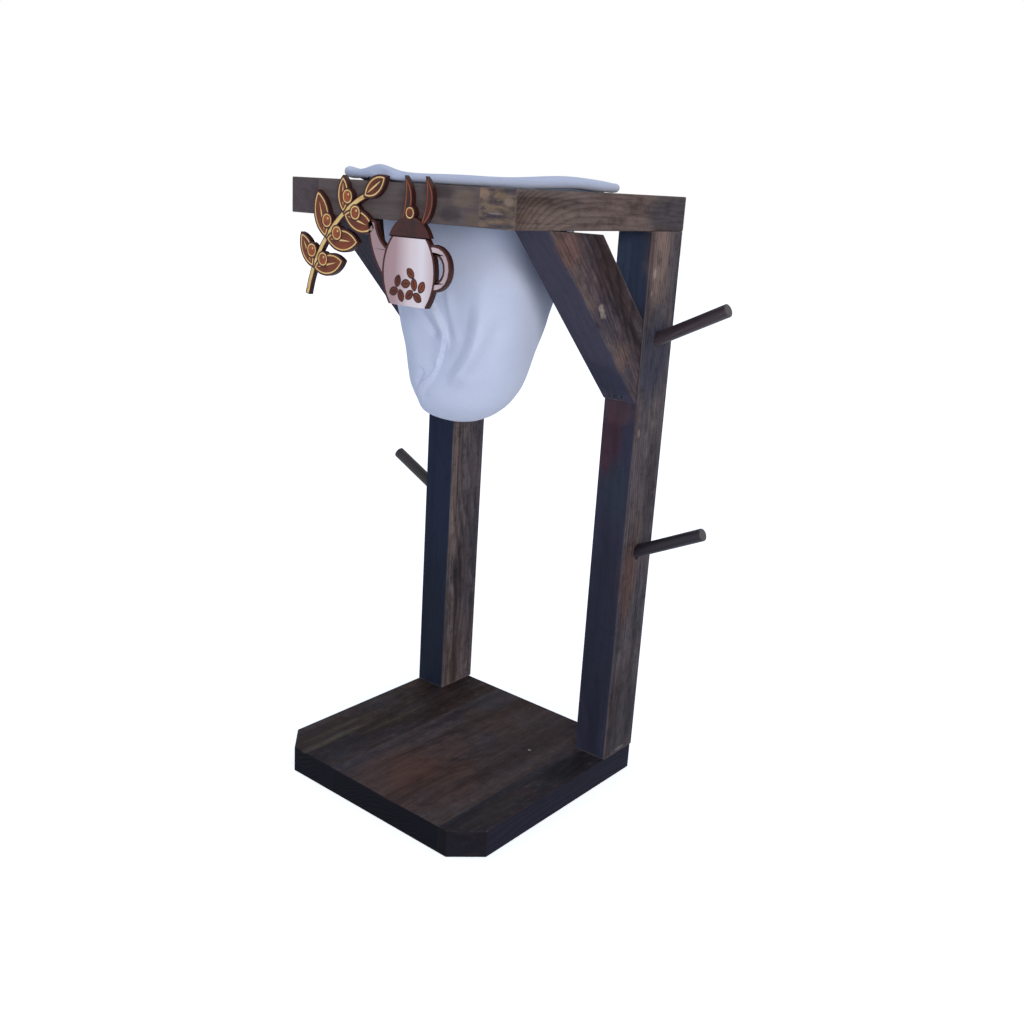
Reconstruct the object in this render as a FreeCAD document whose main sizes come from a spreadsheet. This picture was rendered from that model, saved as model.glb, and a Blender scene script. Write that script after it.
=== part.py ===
# Pour over dripper stand: a stained pine stand that holds a cloth filter on a wire hoop.
# A base of three boards carries two posts at its back corners. Two arms lie on the posts and
# reach forward, a front and a back rail close them into a square frame, and a brace under each
# arm meets its post. The hoop of the cloth filter rests on that frame. Pegs for cups slope up
# and out of the posts, and a flat cut-out plaque is glued on the front of the frame.
# Millimetres. Origin at the middle of the base's underside, +Z up, the front towards -Y.

import FreeCAD, Part
import math
import os

import Sketcher
from FreeCAD import Rotation, Vector

doc = FreeCAD.newDocument("dripper_stand")

DIMENSIONS = {
    "base_width": 180,
    "base_depth": 176,
    "base_thickness": 18.5,
    "corner_cut": 18,
    "left_board_width": 57,
    "right_board_width": 25,
    "arris_radius": 0.8,
    "post_width": 25,
    "post_depth": 35,
    "post_length": 360,
    "post_back_overhang": 2,
    "arm_width": 25,
    "arm_thickness": 21,
    "arm_side_inset": 1,
    "arm_front_setback": 11,
    "arm_back_overhang": 1.5,
    "rail_width": 25,
    "brace_stock_depth": 36.5,
    "brace_setback": 29,
    "brace_drop": 106.5,
    "brace_heel_gap": 2,
    "peg_diameter": 8.5,
    "peg_projection": 53,
    "peg_insertion": 16,
    "peg_tilt": 26.3,
    "peg_upper_height": 312,
    "peg_lower_height": 169.5,
    "peg_end_round": 0.9,
    "drill_start_diameter": 4.2,
    "drill_start_depth": 3,
    "glue_clearance": 0.1,
    "screw_diameter": 4,
    "screw_head_diameter": 8,
    "screw_head_height": 2.5,
    "screw_point_height": 5,
    "point_flat": 0.5,
    "screw_recess": 0.5,
    "screw_length": 45,
    "screw_spacing": 18,
    "brace_screw_length": 38,
    "brace_screw_setback": 30,
    "dowel_diameter": 6,
    "dowel_length": 30,
    "dowel_spacing": 12,
    "nail_diameter": 1.6,
    "nail_head_diameter": 2.6,
    "nail_head_height": 1,
    "nail_point_height": 2,
    "nail_length": 28,
    "nail_spacing": 5.6,
    "nail_height": 3.6,
    "wire_diameter": 2.5,
    "cloth_thickness": 0.9,
    "cloth_clearance": 0.3,
    "hoop_bearing": 19,
    "hoop_side_shift": 9,
    "bag_depth": 149.5,
    "bag_bottom_radius": 39,
    "bag_taper": 15,
    "bag_shoulder_gap": 1.5,
    "plaque_thickness": 3,
    "plaque_side_shift": 14,
    "plaque_drop": 31,
}

DERIVED = {
    "post_side": "base_width / 2 - post_width / 2",
    "post_middle": "base_depth / 2 + post_back_overhang - post_depth / 2",
    "post_front": "base_depth / 2 + post_back_overhang - post_depth",
    "frame_underside": "base_thickness + post_length",
    "frame_top": "base_thickness + post_length + arm_thickness",
    "arm_side": "base_width / 2 - arm_side_inset - arm_width / 2",
    "arm_inner": "base_width / 2 - arm_side_inset - arm_width",
    "arm_front": "-base_depth / 2 + arm_front_setback",
    "arm_back": "base_depth / 2 + post_back_overhang + arm_back_overhang",
    "brace_front": "arm_front + brace_setback",
    "brace_reach": "post_front - brace_front",
    "brace_slope": "brace_drop / brace_reach",
    "brace_run": "brace_stock_depth * sqrt(brace_reach ^ 2 + brace_drop ^ 2) / brace_drop",
    "brace_foot": "frame_underside - brace_drop",
    "brace_screw_place": "brace_front + brace_screw_setback",
    "front_rail_middle": "arm_front + rail_width / 2",
    "back_rail_middle": "arm_back - rail_width / 2",
    "opening_middle": "(arm_front + arm_back) / 2",
    "opening_half_depth": "(arm_back - arm_front) / 2 - rail_width",
    "hem_radius": "wire_diameter / 2 + cloth_clearance + cloth_thickness",
    "hoop_radius": "max(arm_inner; opening_half_depth) + hoop_bearing",
    "hoop_depth": "arm_front + hoop_radius + hem_radius + cloth_clearance",
    "hoop_height": "frame_top + cloth_clearance + hem_radius",
    "free_across": "arm_inner - hoop_side_shift",
    "free_along": "opening_half_depth - abs(opening_middle - hoop_depth)",
    "bag_neck_radius": "min(free_across; free_along) - bag_shoulder_gap",
}


def make_sheet():
    """The spreadsheet: the driving dimensions, then the places worked out from them."""
    table = doc.addObject("Spreadsheet::Sheet", "sizes")
    rows = [(alias, str(value)) for alias, value in DIMENSIONS.items()]
    rows += [(alias, "=" + formula) for alias, formula in DERIVED.items()]
    for number, (alias, content) in enumerate(rows, start=1):
        table.set(f"A{number}", alias)
        table.set(f"B{number}", content)
        table.setAlias(f"B{number}", alias)
        doc.recompute()
    return table


sizes = make_sheet()
ALIASES = sorted([*DIMENSIONS, *DERIVED], key=len, reverse=True)


def size(alias):
    """The value of one cell, for the shapes that are worked out in code."""
    return float(sizes.get(alias))


def bound(formula):
    """A formula in the sheet's aliases, written so that an object's expression can hold it."""
    text, written = str(formula), ""
    while text:
        alias = next((name for name in ALIASES if text.startswith(name)), "")
        written += f"sizes.{alias}" if alias else text[0]
        text = text[len(alias) or 1:]
    return written


def bind(thing, **formulas):
    for name, formula in formulas.items():
        thing.setExpression(name, bound(formula))


def place(thing, x="0", y="0", z="0"):
    for axis, formula in zip("xyz", (x, y, z)):
        thing.setExpression(f"Placement.Base.{axis}", bound(formula))


def lean(thing, angle):
    """Turns a thing's own +Z towards +X by an angle given as a formula."""
    thing.Placement.Rotation = Rotation(Vector(0, 1, 0), 45)
    thing.setExpression("Placement.Rotation.Angle", bound(angle))


def new_body(name):
    body = doc.addObject("PartDesign::Body", name)
    body.Label = name
    return body


def outline(body, name, role, corners):
    """A closed sketch of straight lines; each corner is a pair of formulas."""
    sketch = body.newObject("Sketcher::SketchObject", name)
    plane = next(item for item in body.Origin.OriginFeatures if item.Role == role)
    sketch.AttachmentSupport = (plane, [""])
    sketch.MapMode = "FlatFace"
    count = len(corners)
    rough = [Vector(math.cos(turn), math.sin(turn), 0) * 50
             for turn in (math.tau * index / count for index in range(count))]
    for index in range(count):
        sketch.addGeometry(Part.LineSegment(rough[index], rough[(index + 1) % count]), False)
    for index in range(count):
        follows = (index + 1) % count
        sketch.addConstraint(Sketcher.Constraint("Coincident", index, 2, follows, 1))
    for index, corner in enumerate(corners):
        for kind, formula, start in zip(("DistanceX", "DistanceY"), corner, rough[index]):
            number = sketch.addConstraint(Sketcher.Constraint(kind, -1, 1, index, 1, start))
            sketch.renameConstraint(number, f"{kind}_{index}")
            sketch.setExpression(f"Constraints.{kind}_{index}", bound(formula))
    return sketch


def pad(body, sketch, length, both_ways=False):
    feature = body.newObject("PartDesign::Pad", sketch.Name + "_pad")
    feature.Profile = sketch
    feature.Midplane = both_ways
    bind(feature, Length=length)
    doc.recompute()
    return feature


def round_edges(body, feature, radius, wanted):
    """Rounds the edges of a feature that the test picks, as sandpaper does."""
    names = [f"Edge{number}" for number, edge in enumerate(feature.Shape.Edges, start=1)
             if wanted(edge)]
    fillet = body.newObject("PartDesign::Fillet", feature.Name + "_round")
    fillet.Base = (feature, names)
    bind(fillet, Radius=radius)
    doc.recompute()
    return fillet


def along(direction):
    """A test for straight edges that run in one direction."""
    wanted = Vector(*direction).normalize()

    def test(edge):
        run = edge.Vertexes[-1].Point - edge.Vertexes[0].Point
        return run.Length > 0 and abs(run.normalize().dot(wanted)) > 0.999
    return test


def drill(body, name, diameter, depth, x, y, z, angle="0"):
    """A round hole whose axis starts at a point and runs in the way that the angle leans it."""
    hole = body.newObject("PartDesign::SubtractiveCylinder", name)
    lean(hole, angle)
    place(hole, x, y, z)
    bind(hole, Radius=f"{diameter} / 2 + glue_clearance", Height=depth)
    doc.recompute()
    return hole


def countersink(body, name, x, y, z, angle):
    """The seat of a flat screw head. It starts at the head's top and narrows along its axis."""
    seat = body.newObject("PartDesign::SubtractiveCone", name)
    lean(seat, angle)
    place(seat, x, y, z)
    bind(seat, Radius1="screw_head_diameter / 2 + glue_clearance",
         Radius2="screw_diameter / 2 + glue_clearance", Height="screw_head_height")
    doc.recompute()
    rim = body.newObject("PartDesign::SubtractiveCylinder", name + "_mouth")
    lean(rim, f"{angle} + 180")
    place(rim, x, y, z)
    bind(rim, Radius="screw_head_diameter / 2 + glue_clearance", Height="screw_recess * 2")
    doc.recompute()


def foot_rows():
    """The two places along a post's depth where it is screwed to the base, as formulas."""
    return [f"post_middle + {side} * screw_spacing / 2" for side in (-1, 1)]


def head_rows():
    """Where an arm is screwed to its post: between the back rail's dowels, and in front of them."""
    return ["back_rail_middle", "back_rail_middle - screw_spacing"]


def make_base_board(name, corners, seams, post_x=None):
    """One board of the base, square where it is glued and rounded on its outer edges."""
    board = new_body(name)
    sketch = outline(board, name + "_outline", "XY_Plane", corners)
    block = pad(board, sketch, "base_thickness")
    edge_lines = [size("base_width") / 2 * side + offset for side, offset in seams]

    def outer(edge):
        middle = edge.CenterOfMass
        flat = abs(edge.Vertexes[0].Point.z - edge.Vertexes[-1].Point.z) < 0.01
        return flat and all(abs(middle.x - line) > 0.01 for line in edge_lines)
    round_edges(board, block, "arris_radius", outer)
    if post_x:
        for number, y in enumerate(foot_rows()):
            drill(board, f"{name}_shank_{number}", "screw_diameter", "base_thickness", post_x, y, "0")
            countersink(board, f"{name}_sink_{number}", post_x, y, "screw_recess", "0")
    return board


def make_base():
    left_seam = "-base_width / 2 + left_board_width"
    right_seam = "base_width / 2 - right_board_width"
    front, back = "-base_depth / 2", "base_depth / 2"
    left_corners = [("-base_width / 2", back), ("-base_width / 2", front + " + corner_cut"),
                    ("-base_width / 2 + corner_cut", front), (left_seam, front), (left_seam, back)]
    middle_corners = [(left_seam, back), (left_seam, front), (right_seam, front), (right_seam, back)]
    right_corners = [(right_seam, back), (right_seam, front), ("base_width / 2 - corner_cut", front),
                     ("base_width / 2", front + " + corner_cut"), ("base_width / 2", back)]
    left = (-1, size("left_board_width"))
    right = (1, -size("right_board_width"))
    make_base_board("base_board_left", left_corners, [left], "-post_side")
    make_base_board("base_board_middle", middle_corners, [left, right])
    make_base_board("base_board_right", right_corners, [right], "post_side")


def make_post(name, side):
    """A post with its two leaning peg holes, its end grain drilled for screws, and nail holes."""
    post = new_body(name)
    half_width, half_depth = "post_width / 2", "post_depth / 2"
    corners = [(f"{x} * {half_width}", f"{y} * {half_depth}")
               for x, y in ((-1, -1), (1, -1), (1, 1), (-1, 1))]
    block = pad(post, outline(post, name + "_outline", "XY_Plane", corners), "post_length")
    round_edges(post, block, "arris_radius", along((0, 0, 1)))
    place(post, f"{side} * post_side", "post_middle", "base_thickness")
    for level in ("upper", "lower"):
        x = f"{side} * ({half_width} - peg_insertion * cos(peg_tilt))"
        z = f"peg_{level}_height - base_thickness - peg_insertion * sin(peg_tilt)"
        drill(post, f"{name}_{level}_socket", "peg_diameter", "peg_insertion + peg_diameter",
              x, "0", z, f"{side} * (90 - peg_tilt)")
    buried = "screw_length - (base_thickness - screw_recess)"
    buried_top = "screw_length - (arm_thickness - screw_recess)"
    for number, y in enumerate(foot_rows()):
        drill(post, f"{name}_foot_pilot_{number}", "screw_diameter",
              f"{buried} + glue_clearance", "0", y + " - post_middle", "0")
    for number, y in enumerate(head_rows()):
        drill(post, f"{name}_head_pilot_{number}", "screw_diameter",
              f"{buried_top} + glue_clearance", f"{side} * (arm_side - post_side)",
              y + " - post_middle", "post_length", "180")
    nail_holes(post, name, f"{side} * (arm_side - post_side)", "-post_middle", "-base_thickness")
    return post


def nail_holes(body, name, x, y_shift, z_shift, kind="nail", quarter=-1, height="nail_length"):
    """Level holes for the two nails at a brace's foot, or with quarter 1 the seats of their heads."""
    for number, row in enumerate((-1, 1)):
        hole = body.newObject("PartDesign::SubtractiveCylinder", f"{name}_{kind}_{number}")
        hole.Placement.Rotation = Rotation(Vector(1, 0, 0), quarter * 90)
        place(hole, f"{x} + {row} * nail_spacing / 2", f"{nail_start()} + {y_shift}",
              f"brace_foot + nail_height + {z_shift}")
        bind(hole, Radius=f"{kind}_diameter / 2 + glue_clearance", Height=f"{height} + glue_clearance")
        doc.recompute()


def nail_start():
    """Where a nail's head is: on the brace's front face, nail_height above its foot."""
    return "(post_front - nail_height / brace_slope)"


def make_arm(name, side):
    """An arm: it lies on the post, and takes the rails' dowels, the post's and brace's screws."""
    arm = new_body(name)
    corners = [(x + " * arm_width / 2", y) for x, y in
               (("-1", "arm_front"), ("1", "arm_front"), ("1", "arm_back"), ("-1", "arm_back"))]
    block = pad(arm, outline(arm, name + "_outline", "XY_Plane", corners), "arm_thickness")
    round_edges(arm, block, "arris_radius", along((0, 1, 0)))
    place(arm, f"{side} * arm_side", "0", "frame_underside")
    for number, y in enumerate([*head_rows(), "brace_screw_place"]):
        drill(arm, f"{name}_shank_{number}", "screw_diameter", "arm_thickness", "0", y, "0")
        countersink(arm, f"{name}_sink_{number}", "0", y, "arm_thickness - screw_recess", "180")
    for end in ("front", "back"):
        dowel_holes(arm, f"{name}_{end}", f"-{side} * arm_width / 2", f"{end}_rail_middle", side)
    return arm


def dowel_holes(body, name, x, y, side):
    """Two dowel holes side by side in a face that looks along X; side is the way they run."""
    for number, row in enumerate((-1, 1)):
        drill(body, f"{name}_dowel_{number}", "dowel_diameter", "dowel_length / 2 + glue_clearance",
              x, f"{y} + {row} * dowel_spacing / 2", "arm_thickness / 2", f"{side} * 90")


def make_rail(name, y):
    """A rail between the two arms, level with them and doweled into both."""
    rail = new_body(name)
    corners = [(x + " * arm_inner", z + " * rail_width / 2")
               for x, z in (("-1", "-1"), ("1", "-1"), ("1", "1"), ("-1", "1"))]
    block = pad(rail, outline(rail, name + "_outline", "XY_Plane", corners), "arm_thickness")
    round_edges(rail, block, "arris_radius", along((1, 0, 0)))
    place(rail, "0", y, "frame_underside")
    for side in (-1, 1):
        label = f"{name}_{'right' if side > 0 else 'left'}"
        dowel_holes(rail, label, f"{side} * arm_inner", "0", -side)
    return rail


def make_brace(name, side):
    """A brace of the posts' stock. Its head is sawn a touch steep, so its heel stands clear."""
    brace = new_body(name)
    rear_foot = "brace_foot + brace_run * brace_slope"
    heel = "brace_front + brace_run + brace_heel_gap / brace_slope"
    corners = [("brace_front", "frame_underside"), ("post_front", "brace_foot"),
               ("post_front", rear_foot), (heel, "frame_underside - brace_heel_gap")]
    sketch = outline(brace, name + "_profile", "YZ_Plane", corners)
    block = pad(brace, sketch, "arm_width", both_ways=True)
    long_way = (0, size("brace_reach"), -size("brace_drop"))
    round_edges(brace, block, "arris_radius", along(long_way))
    place(brace, f"{side} * arm_side")
    buried = "brace_screw_length - (arm_thickness - screw_recess) + glue_clearance"
    drill(brace, name + "_pilot", "screw_diameter", buried, "0", "brace_screw_place",
          "frame_underside", "180")
    nail_holes(brace, name, "0", "0", "0")
    nail_holes(brace, name, "0", "0", "0", "nail_head", 1, "nail_head_diameter")
    return brace


def make_peg(name, side, level):
    """A dowel with a sanded end, glued into its leaning hole, that holds a cup by its handle."""
    peg = new_body(name)
    rod = peg.newObject("PartDesign::AdditiveCylinder", name + "_rod")
    bind(rod, Radius="peg_diameter / 2", Height="peg_insertion + peg_projection")
    doc.recompute()
    tip = size("peg_insertion") + size("peg_projection")
    round_edges(peg, rod, "peg_end_round",
                lambda edge: len(edge.Vertexes) == 1 and abs(edge.Vertexes[0].Z - tip) < 0.01)
    lean(peg, f"{side} * (90 - peg_tilt)")
    place(peg, f"{side} * (base_width / 2 - peg_insertion * cos(peg_tilt))", "post_middle",
          f"peg_{level}_height - peg_insertion * sin(peg_tilt)")
    return peg


def cut_drill_start(post):
    """A shallow stray hole that a drill left under the lower peg of the right post."""
    mark = post.newObject("PartDesign::SubtractiveCylinder", "drill_start")
    lean(mark, "90")
    place(mark, "post_width / 2 - drill_start_depth", "0",
          "peg_lower_height - peg_diameter / 2 - base_thickness")
    bind(mark, Radius="drill_start_diameter / 2", Height="drill_start_depth * 2")
    doc.recompute()


def turned(profile):
    """A solid turned about its own Z axis from a half section of (radius, height) points."""
    points = [Vector(radius, 0, height) for radius, height in profile]
    face = Part.Face(Part.makePolygon(points + points[:1]))
    return face.revolve(Vector(0, 0, 0), Vector(0, 0, 1), 360)


def screw_shape(length):
    """A countersunk wood screw, its head's top at the origin and its point up +Z."""
    head, shank = size("screw_head_diameter") / 2, size("screw_diameter") / 2
    point = length - size("screw_point_height")
    return turned([(0, 0), (head, 0), (shank, size("screw_head_height")), (shank, point),
                   (size("point_flat"), length), (0, length)])


def nail_shape():
    head, shank = size("nail_head_diameter") / 2, size("nail_diameter") / 2
    length = size("nail_length")
    point = length - size("nail_point_height")
    rise = size("nail_head_height")
    return turned([(0, -rise), (head, -rise), (head, 0), (shank, 0), (shank, point),
                   (size("point_flat"), length), (0, length)])


def dowel_shape():
    return turned([(0, 0), (size("dowel_diameter") / 2, 0),
                   (size("dowel_diameter") / 2, size("dowel_length")), (0, size("dowel_length"))])


def group(name, shape, spots, turn):
    """Identical fasteners as one node: a copy of the shape at each spot, all turned one way."""
    copies = []
    for spot in spots:
        copy = shape.copy()
        copy.Placement = FreeCAD.Placement(Vector(*spot), turn)
        copies.append(copy)
    node = doc.addObject("Part::Feature", name)
    node.Label = name
    node.Shape = Part.makeCompound(copies)
    return node


def make_fasteners():
    upright = Rotation()
    upside_down = Rotation(Vector(0, 1, 0), 180)
    level = Rotation(Vector(0, 1, 0), 90)
    inward = Rotation(Vector(1, 0, 0), -90)
    foot_places = [size("post_middle") + side * size("screw_spacing") / 2 for side in (-1, 1)]
    head_places = [size("back_rail_middle"), size("back_rail_middle") - size("screw_spacing")]
    head_top = size("frame_top") - size("screw_recess")
    screw = screw_shape(size("screw_length"))
    feet = [(side * size("post_side"), y, size("screw_recess"))
            for side in (-1, 1) for y in foot_places]
    heads = [(side * size("arm_side"), y, head_top) for side in (-1, 1) for y in head_places]
    group("base_screws", screw, feet, upright)
    group("arm_screws", screw, heads, upside_down)
    brace_tops = [(side * size("arm_side"), size("brace_screw_place"), head_top) for side in (-1, 1)]
    group("brace_screws", screw_shape(size("brace_screw_length")), brace_tops, upside_down)
    nail_y = size("post_front") - size("nail_height") / size("brace_slope")
    nail_z = size("brace_foot") + size("nail_height")
    nails = [(side * size("arm_side") + row * size("nail_spacing") / 2, nail_y, nail_z)
             for side in (-1, 1) for row in (-1, 1)]
    group("brace_nails", nail_shape(), nails, inward)
    middle = size("frame_underside") + size("arm_thickness") / 2
    for end in ("front", "back"):
        spots = [(side * size("arm_inner") - size("dowel_length") / 2,
                  size(f"{end}_rail_middle") + row * size("dowel_spacing") / 2, middle)
                 for side in (-1, 1) for row in (-1, 1)]
        group(f"{end}_rail_dowels", dowel_shape(), spots, level)


def make_hoop():
    """The wire ring in the filter's hem."""
    hoop = doc.addObject("Part::Torus", "filter_hoop")
    hoop.Label = "filter_hoop"
    bind(hoop, Radius1="hoop_radius", Radius2="wire_diameter / 2")
    place(hoop, "-hoop_side_shift", "hoop_depth", "hoop_height")
    return hoop


def bag_side(inset):
    """One side of the bag's cloth from its lowest point to its neck: an arc and a smooth curve."""
    bottom = -size("bag_depth") + size("bag_bottom_radius")
    radius = size("bag_bottom_radius") - inset
    taper = math.radians(size("bag_taper"))
    lowest = Vector(0, 0, bottom - radius)
    belly_turn = (math.pi / 2 - taper) / 2
    belly = Vector(radius * math.sin(belly_turn), 0, bottom - radius * math.cos(belly_turn))
    leaves = Vector(radius * math.cos(taper), 0, bottom - radius * math.sin(taper))
    neck = Vector(size("bag_neck_radius") - inset, 0, -size("bag_shoulder_gap"))
    knee = Vector(neck.x, 0, leaves.z + (neck.x - leaves.x) / math.tan(taper))
    wall = Part.BezierCurve()
    wall.setPoles([leaves, knee, neck])
    return [Part.Arc(lowest, belly, leaves).toShape(), wall.toShape()], lowest, neck


def shoulder(neck, roll):
    """The quarter turn of the cloth outwards over the frame's inner edge."""
    lift = size("cloth_clearance")
    start = neck + Vector(0, 0, lift)
    centre = start + Vector(roll, 0, 0)
    middle = centre + Vector(-roll, 0, roll) * math.sqrt(0.5)
    end = centre + Vector(0, 0, roll)
    return [Part.LineSegment(neck, start).toShape(), Part.Arc(start, middle, end).toShape()], end


def make_bag():
    """The cloth filter: a round-bottomed bag, a shoulder on the frame and a hem round the hoop."""
    gap, cloth = size("bag_shoulder_gap"), size("cloth_thickness")
    outer, lowest, neck = bag_side(0)
    inner, inner_lowest, inner_neck = bag_side(cloth)
    under, under_end = shoulder(neck, gap)
    over, over_end = shoulder(inner_neck, gap + cloth)
    hem_height = size("cloth_clearance") + size("hem_radius")
    hem_centre = Vector(size("hoop_radius"), 0, hem_height)
    under_hem = hem_centre - Vector(0, 0, cloth)
    joins = [Part.LineSegment(under_end, under_hem).toShape(),
             Part.LineSegment(under_hem, hem_centre).toShape(),
             Part.LineSegment(hem_centre, over_end).toShape(),
             Part.LineSegment(inner_lowest, lowest).toShape()]
    section = Part.Face(Part.Wire(Part.__sortEdges__(outer + inner + under + over + joins)))
    axis = Vector(0, 0, 1)
    wall = section.revolve(Vector(0, 0, 0), axis, 360)
    hem = Part.makeTorus(size("hoop_radius"), size("hem_radius"), Vector(0, 0, hem_height), axis)
    channel_radius = size("wire_diameter") / 2 + size("cloth_clearance")
    channel = Part.makeTorus(size("hoop_radius"), channel_radius, Vector(0, 0, hem_height), axis)
    bag = doc.addObject("Part::Feature", "filter_bag")
    bag.Label = "filter_bag"
    bag.Shape = wall.fuse(hem).cut(channel).removeSplitter()
    place(bag, "-hoop_side_shift", "hoop_depth", "frame_top")
    return bag


def arc_edge(first, middle, last):
    """An arc in the plaque's plane through three (x, z) points."""
    return Part.Arc(*(Vector(x, 0, z) for x, z in (first, middle, last))).toShape()


def line_edge(first, last):
    return Part.LineSegment(*(Vector(x, 0, z) for x, z in (first, last))).toShape()


def face_of(edges):
    return Part.Face(Part.Wire(Part.__sortEdges__(edges)))


def disc_face(x, z, radius):
    return face_of([Part.makeCircle(radius, Vector(x, 0, z), Vector(0, -1, 0))])


def step_from(spot, heading, distance):
    return (spot[0] + distance * math.cos(heading), spot[1] + distance * math.sin(heading))


def leaf_face(base, heading, length, width):
    """A pointed leaf: two arcs that meet at its base and its tip."""
    tip, middle = step_from(base, heading, length), step_from(base, heading, length / 2)
    sides = [step_from(middle, heading + math.pi / 2, side * width / 2) for side in (-1, 1)]
    return face_of([arc_edge(base, side, tip) for side in sides])


def stem_point(heading, offset=0.0):
    """A point of the arched stem, told by the stem's heading there."""
    centre, radius = (29, -57.8), 88 + offset
    return (centre[0] - radius * math.sin(heading), centre[1] + radius * math.cos(heading))


def stem_face(first, last, half_width):
    middle = (first + last) / 2
    sides = [[stem_point(heading, offset) for heading in (first, middle, last)]
             for offset in (-half_width, half_width)]
    ends = [line_edge(sides[0][index], sides[1][index]) for index in (0, 2)]
    return face_of([arc_edge(*side) for side in sides] + ends)


def sprig_faces():
    """The left half of the plaque: an arched stem with pairs of leaves and round berries."""
    faces = [stem_face(math.radians(77), math.radians(23), 1.8)]
    spread = math.radians(53)
    for degrees, left_length, right_length in ((66, 24, 28), (52, 29, 29), (38, 22, 28)):
        heading = math.radians(degrees)
        node = stem_point(heading)
        for side, length in ((1, left_length), (-1, right_length)):
            faces.append(leaf_face(node, heading + side * spread, length, length * 0.48))
            berry = step_from(step_from(node, heading, 9), heading + side * math.pi / 2, 5.6)
            faces.append(disc_face(*berry, 4.8))
    tip = math.radians(25)
    faces.append(leaf_face(stem_point(tip), tip + math.radians(8), 22, 11))
    return faces


def pot_faces():
    """The right half of the plaque: a lidded pot with a spout, a ring handle and two wisps."""
    body = face_of([line_edge((15, -36.5), (45, -36.5)), arc_edge((45, -36.5), (51, -18), (43, 3)),
                    line_edge((43, 3), (17, 3)), arc_edge((17, 3), (9, -18), (15, -36.5))])
    spout = face_of([arc_edge((12, -24), (1, -10), (-3.5, 7)), line_edge((-3.5, 7), (2.5, 9)),
                     arc_edge((2.5, 9), (6.5, 0), (14, -6)), line_edge((14, -6), (12, -24))])
    lid = face_of([arc_edge((14, 2), (30, 13), (46, 2)), line_edge((46, 2), (14, 2))])
    ring = disc_face(49, -14, 13).cut(disc_face(49, -14, 7.5)).Faces[0]
    return [body, spout, lid, disc_face(30, 15, 4), ring, wisp_face(21, 7), wisp_face(37, 7)]


def wisp_face(x, z):
    """A curl of steam: a crescent between two arcs that share their ends."""
    foot, tip = (x, z), (x + 4, z + 28)
    return face_of([arc_edge(foot, (x + 10, z + 13), tip), arc_edge(foot, (x + 4.5, z + 14), tip)])


def make_plaque():
    """A flat plaque sawn to its picture's outline: a sprig with berries beside a lidded pot."""
    through = Vector(0, -size("plaque_thickness"), 0)
    plates = [face.extrude(through) for face in sprig_faces() + pot_faces()]
    plaque = doc.addObject("Part::Feature", "plaque")
    plaque.Label = "plaque"
    plaque.Shape = plates[0].fuse(plates[1:]).removeSplitter()
    place(plaque, "-plaque_side_shift", "arm_front", "frame_top - plaque_drop")
    return plaque


def make_stand():
    make_base()
    for name, side in (("left", -1), ("right", 1)):
        post = make_post(f"post_{name}", side)
        if side > 0:
            cut_drill_start(post)
        make_arm(f"arm_{name}", side)
        make_brace(f"brace_{name}", side)
        for level in ("upper", "lower"):
            make_peg(f"peg_{name}_{level}", side, level)
    make_rail("front_rail", "front_rail_middle")
    make_rail("back_rail", "back_rail_middle")
    make_fasteners()
    make_hoop()
    make_bag()
    make_plaque()
    doc.recompute()


def nodes():
    """Every sub-part: the bodies, and the shapes that belong to none."""
    kinds = ("PartDesign::Body", "Part::Torus", "Part::Feature")
    return [item for item in doc.Objects if item.TypeId in kinds]


def check():
    """Stops before anything is written if an object failed or a solid isn't sound."""
    for item in doc.Objects:
        if {"Invalid", "Error"} & set(item.State):
            raise RuntimeError(f"{item.Name} failed: {item.State}")
    for item in nodes():
        if item.Shape.isNull() or not item.Shape.isValid() or not item.Shape.Solids:
            raise RuntimeError(f"{item.Label} has no sound solid")


def write():
    os.makedirs("parts", exist_ok=True)
    for item in nodes():
        item.Shape.exportStep(f"parts/{item.Label}.step")
        print(f"{item.Label}: {len(item.Shape.Solids)} solids, {item.Shape.Volume:.1f} mm3")


make_stand()
check()
write()
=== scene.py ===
# %% [markdown]
# # Pour over dripper stand
# A stand of dark stained pine holds a cloth coffee filter over the place where a pot stands.
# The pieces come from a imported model, which fixes every size and place. This file gives them
# their looks: the grain of each board, the soft cotton of the filter with its rolled hem, the
# printed face of the plaque, and the light and camera that show them. It reads from top to
# bottom, one step at a time, in metres.

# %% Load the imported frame
import math

import bmesh
import bpy
from mathutils import Euler, Matrix, Vector, noise
from mathutils.geometry import intersect_point_line


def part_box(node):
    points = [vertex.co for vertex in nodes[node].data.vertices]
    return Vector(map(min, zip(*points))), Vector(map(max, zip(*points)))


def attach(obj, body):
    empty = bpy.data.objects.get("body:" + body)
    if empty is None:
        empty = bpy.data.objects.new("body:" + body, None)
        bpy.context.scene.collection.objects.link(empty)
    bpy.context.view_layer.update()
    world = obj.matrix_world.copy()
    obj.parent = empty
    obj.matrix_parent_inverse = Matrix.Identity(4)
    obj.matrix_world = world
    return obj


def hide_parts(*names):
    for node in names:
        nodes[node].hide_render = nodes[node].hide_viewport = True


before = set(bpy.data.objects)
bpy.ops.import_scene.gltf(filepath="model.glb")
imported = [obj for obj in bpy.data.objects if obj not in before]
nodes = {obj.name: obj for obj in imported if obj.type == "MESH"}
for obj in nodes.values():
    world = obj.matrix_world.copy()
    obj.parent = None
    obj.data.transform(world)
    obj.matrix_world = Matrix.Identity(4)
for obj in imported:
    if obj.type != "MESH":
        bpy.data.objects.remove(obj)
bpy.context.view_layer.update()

MM = 0.001
scene = bpy.context.scene

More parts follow.
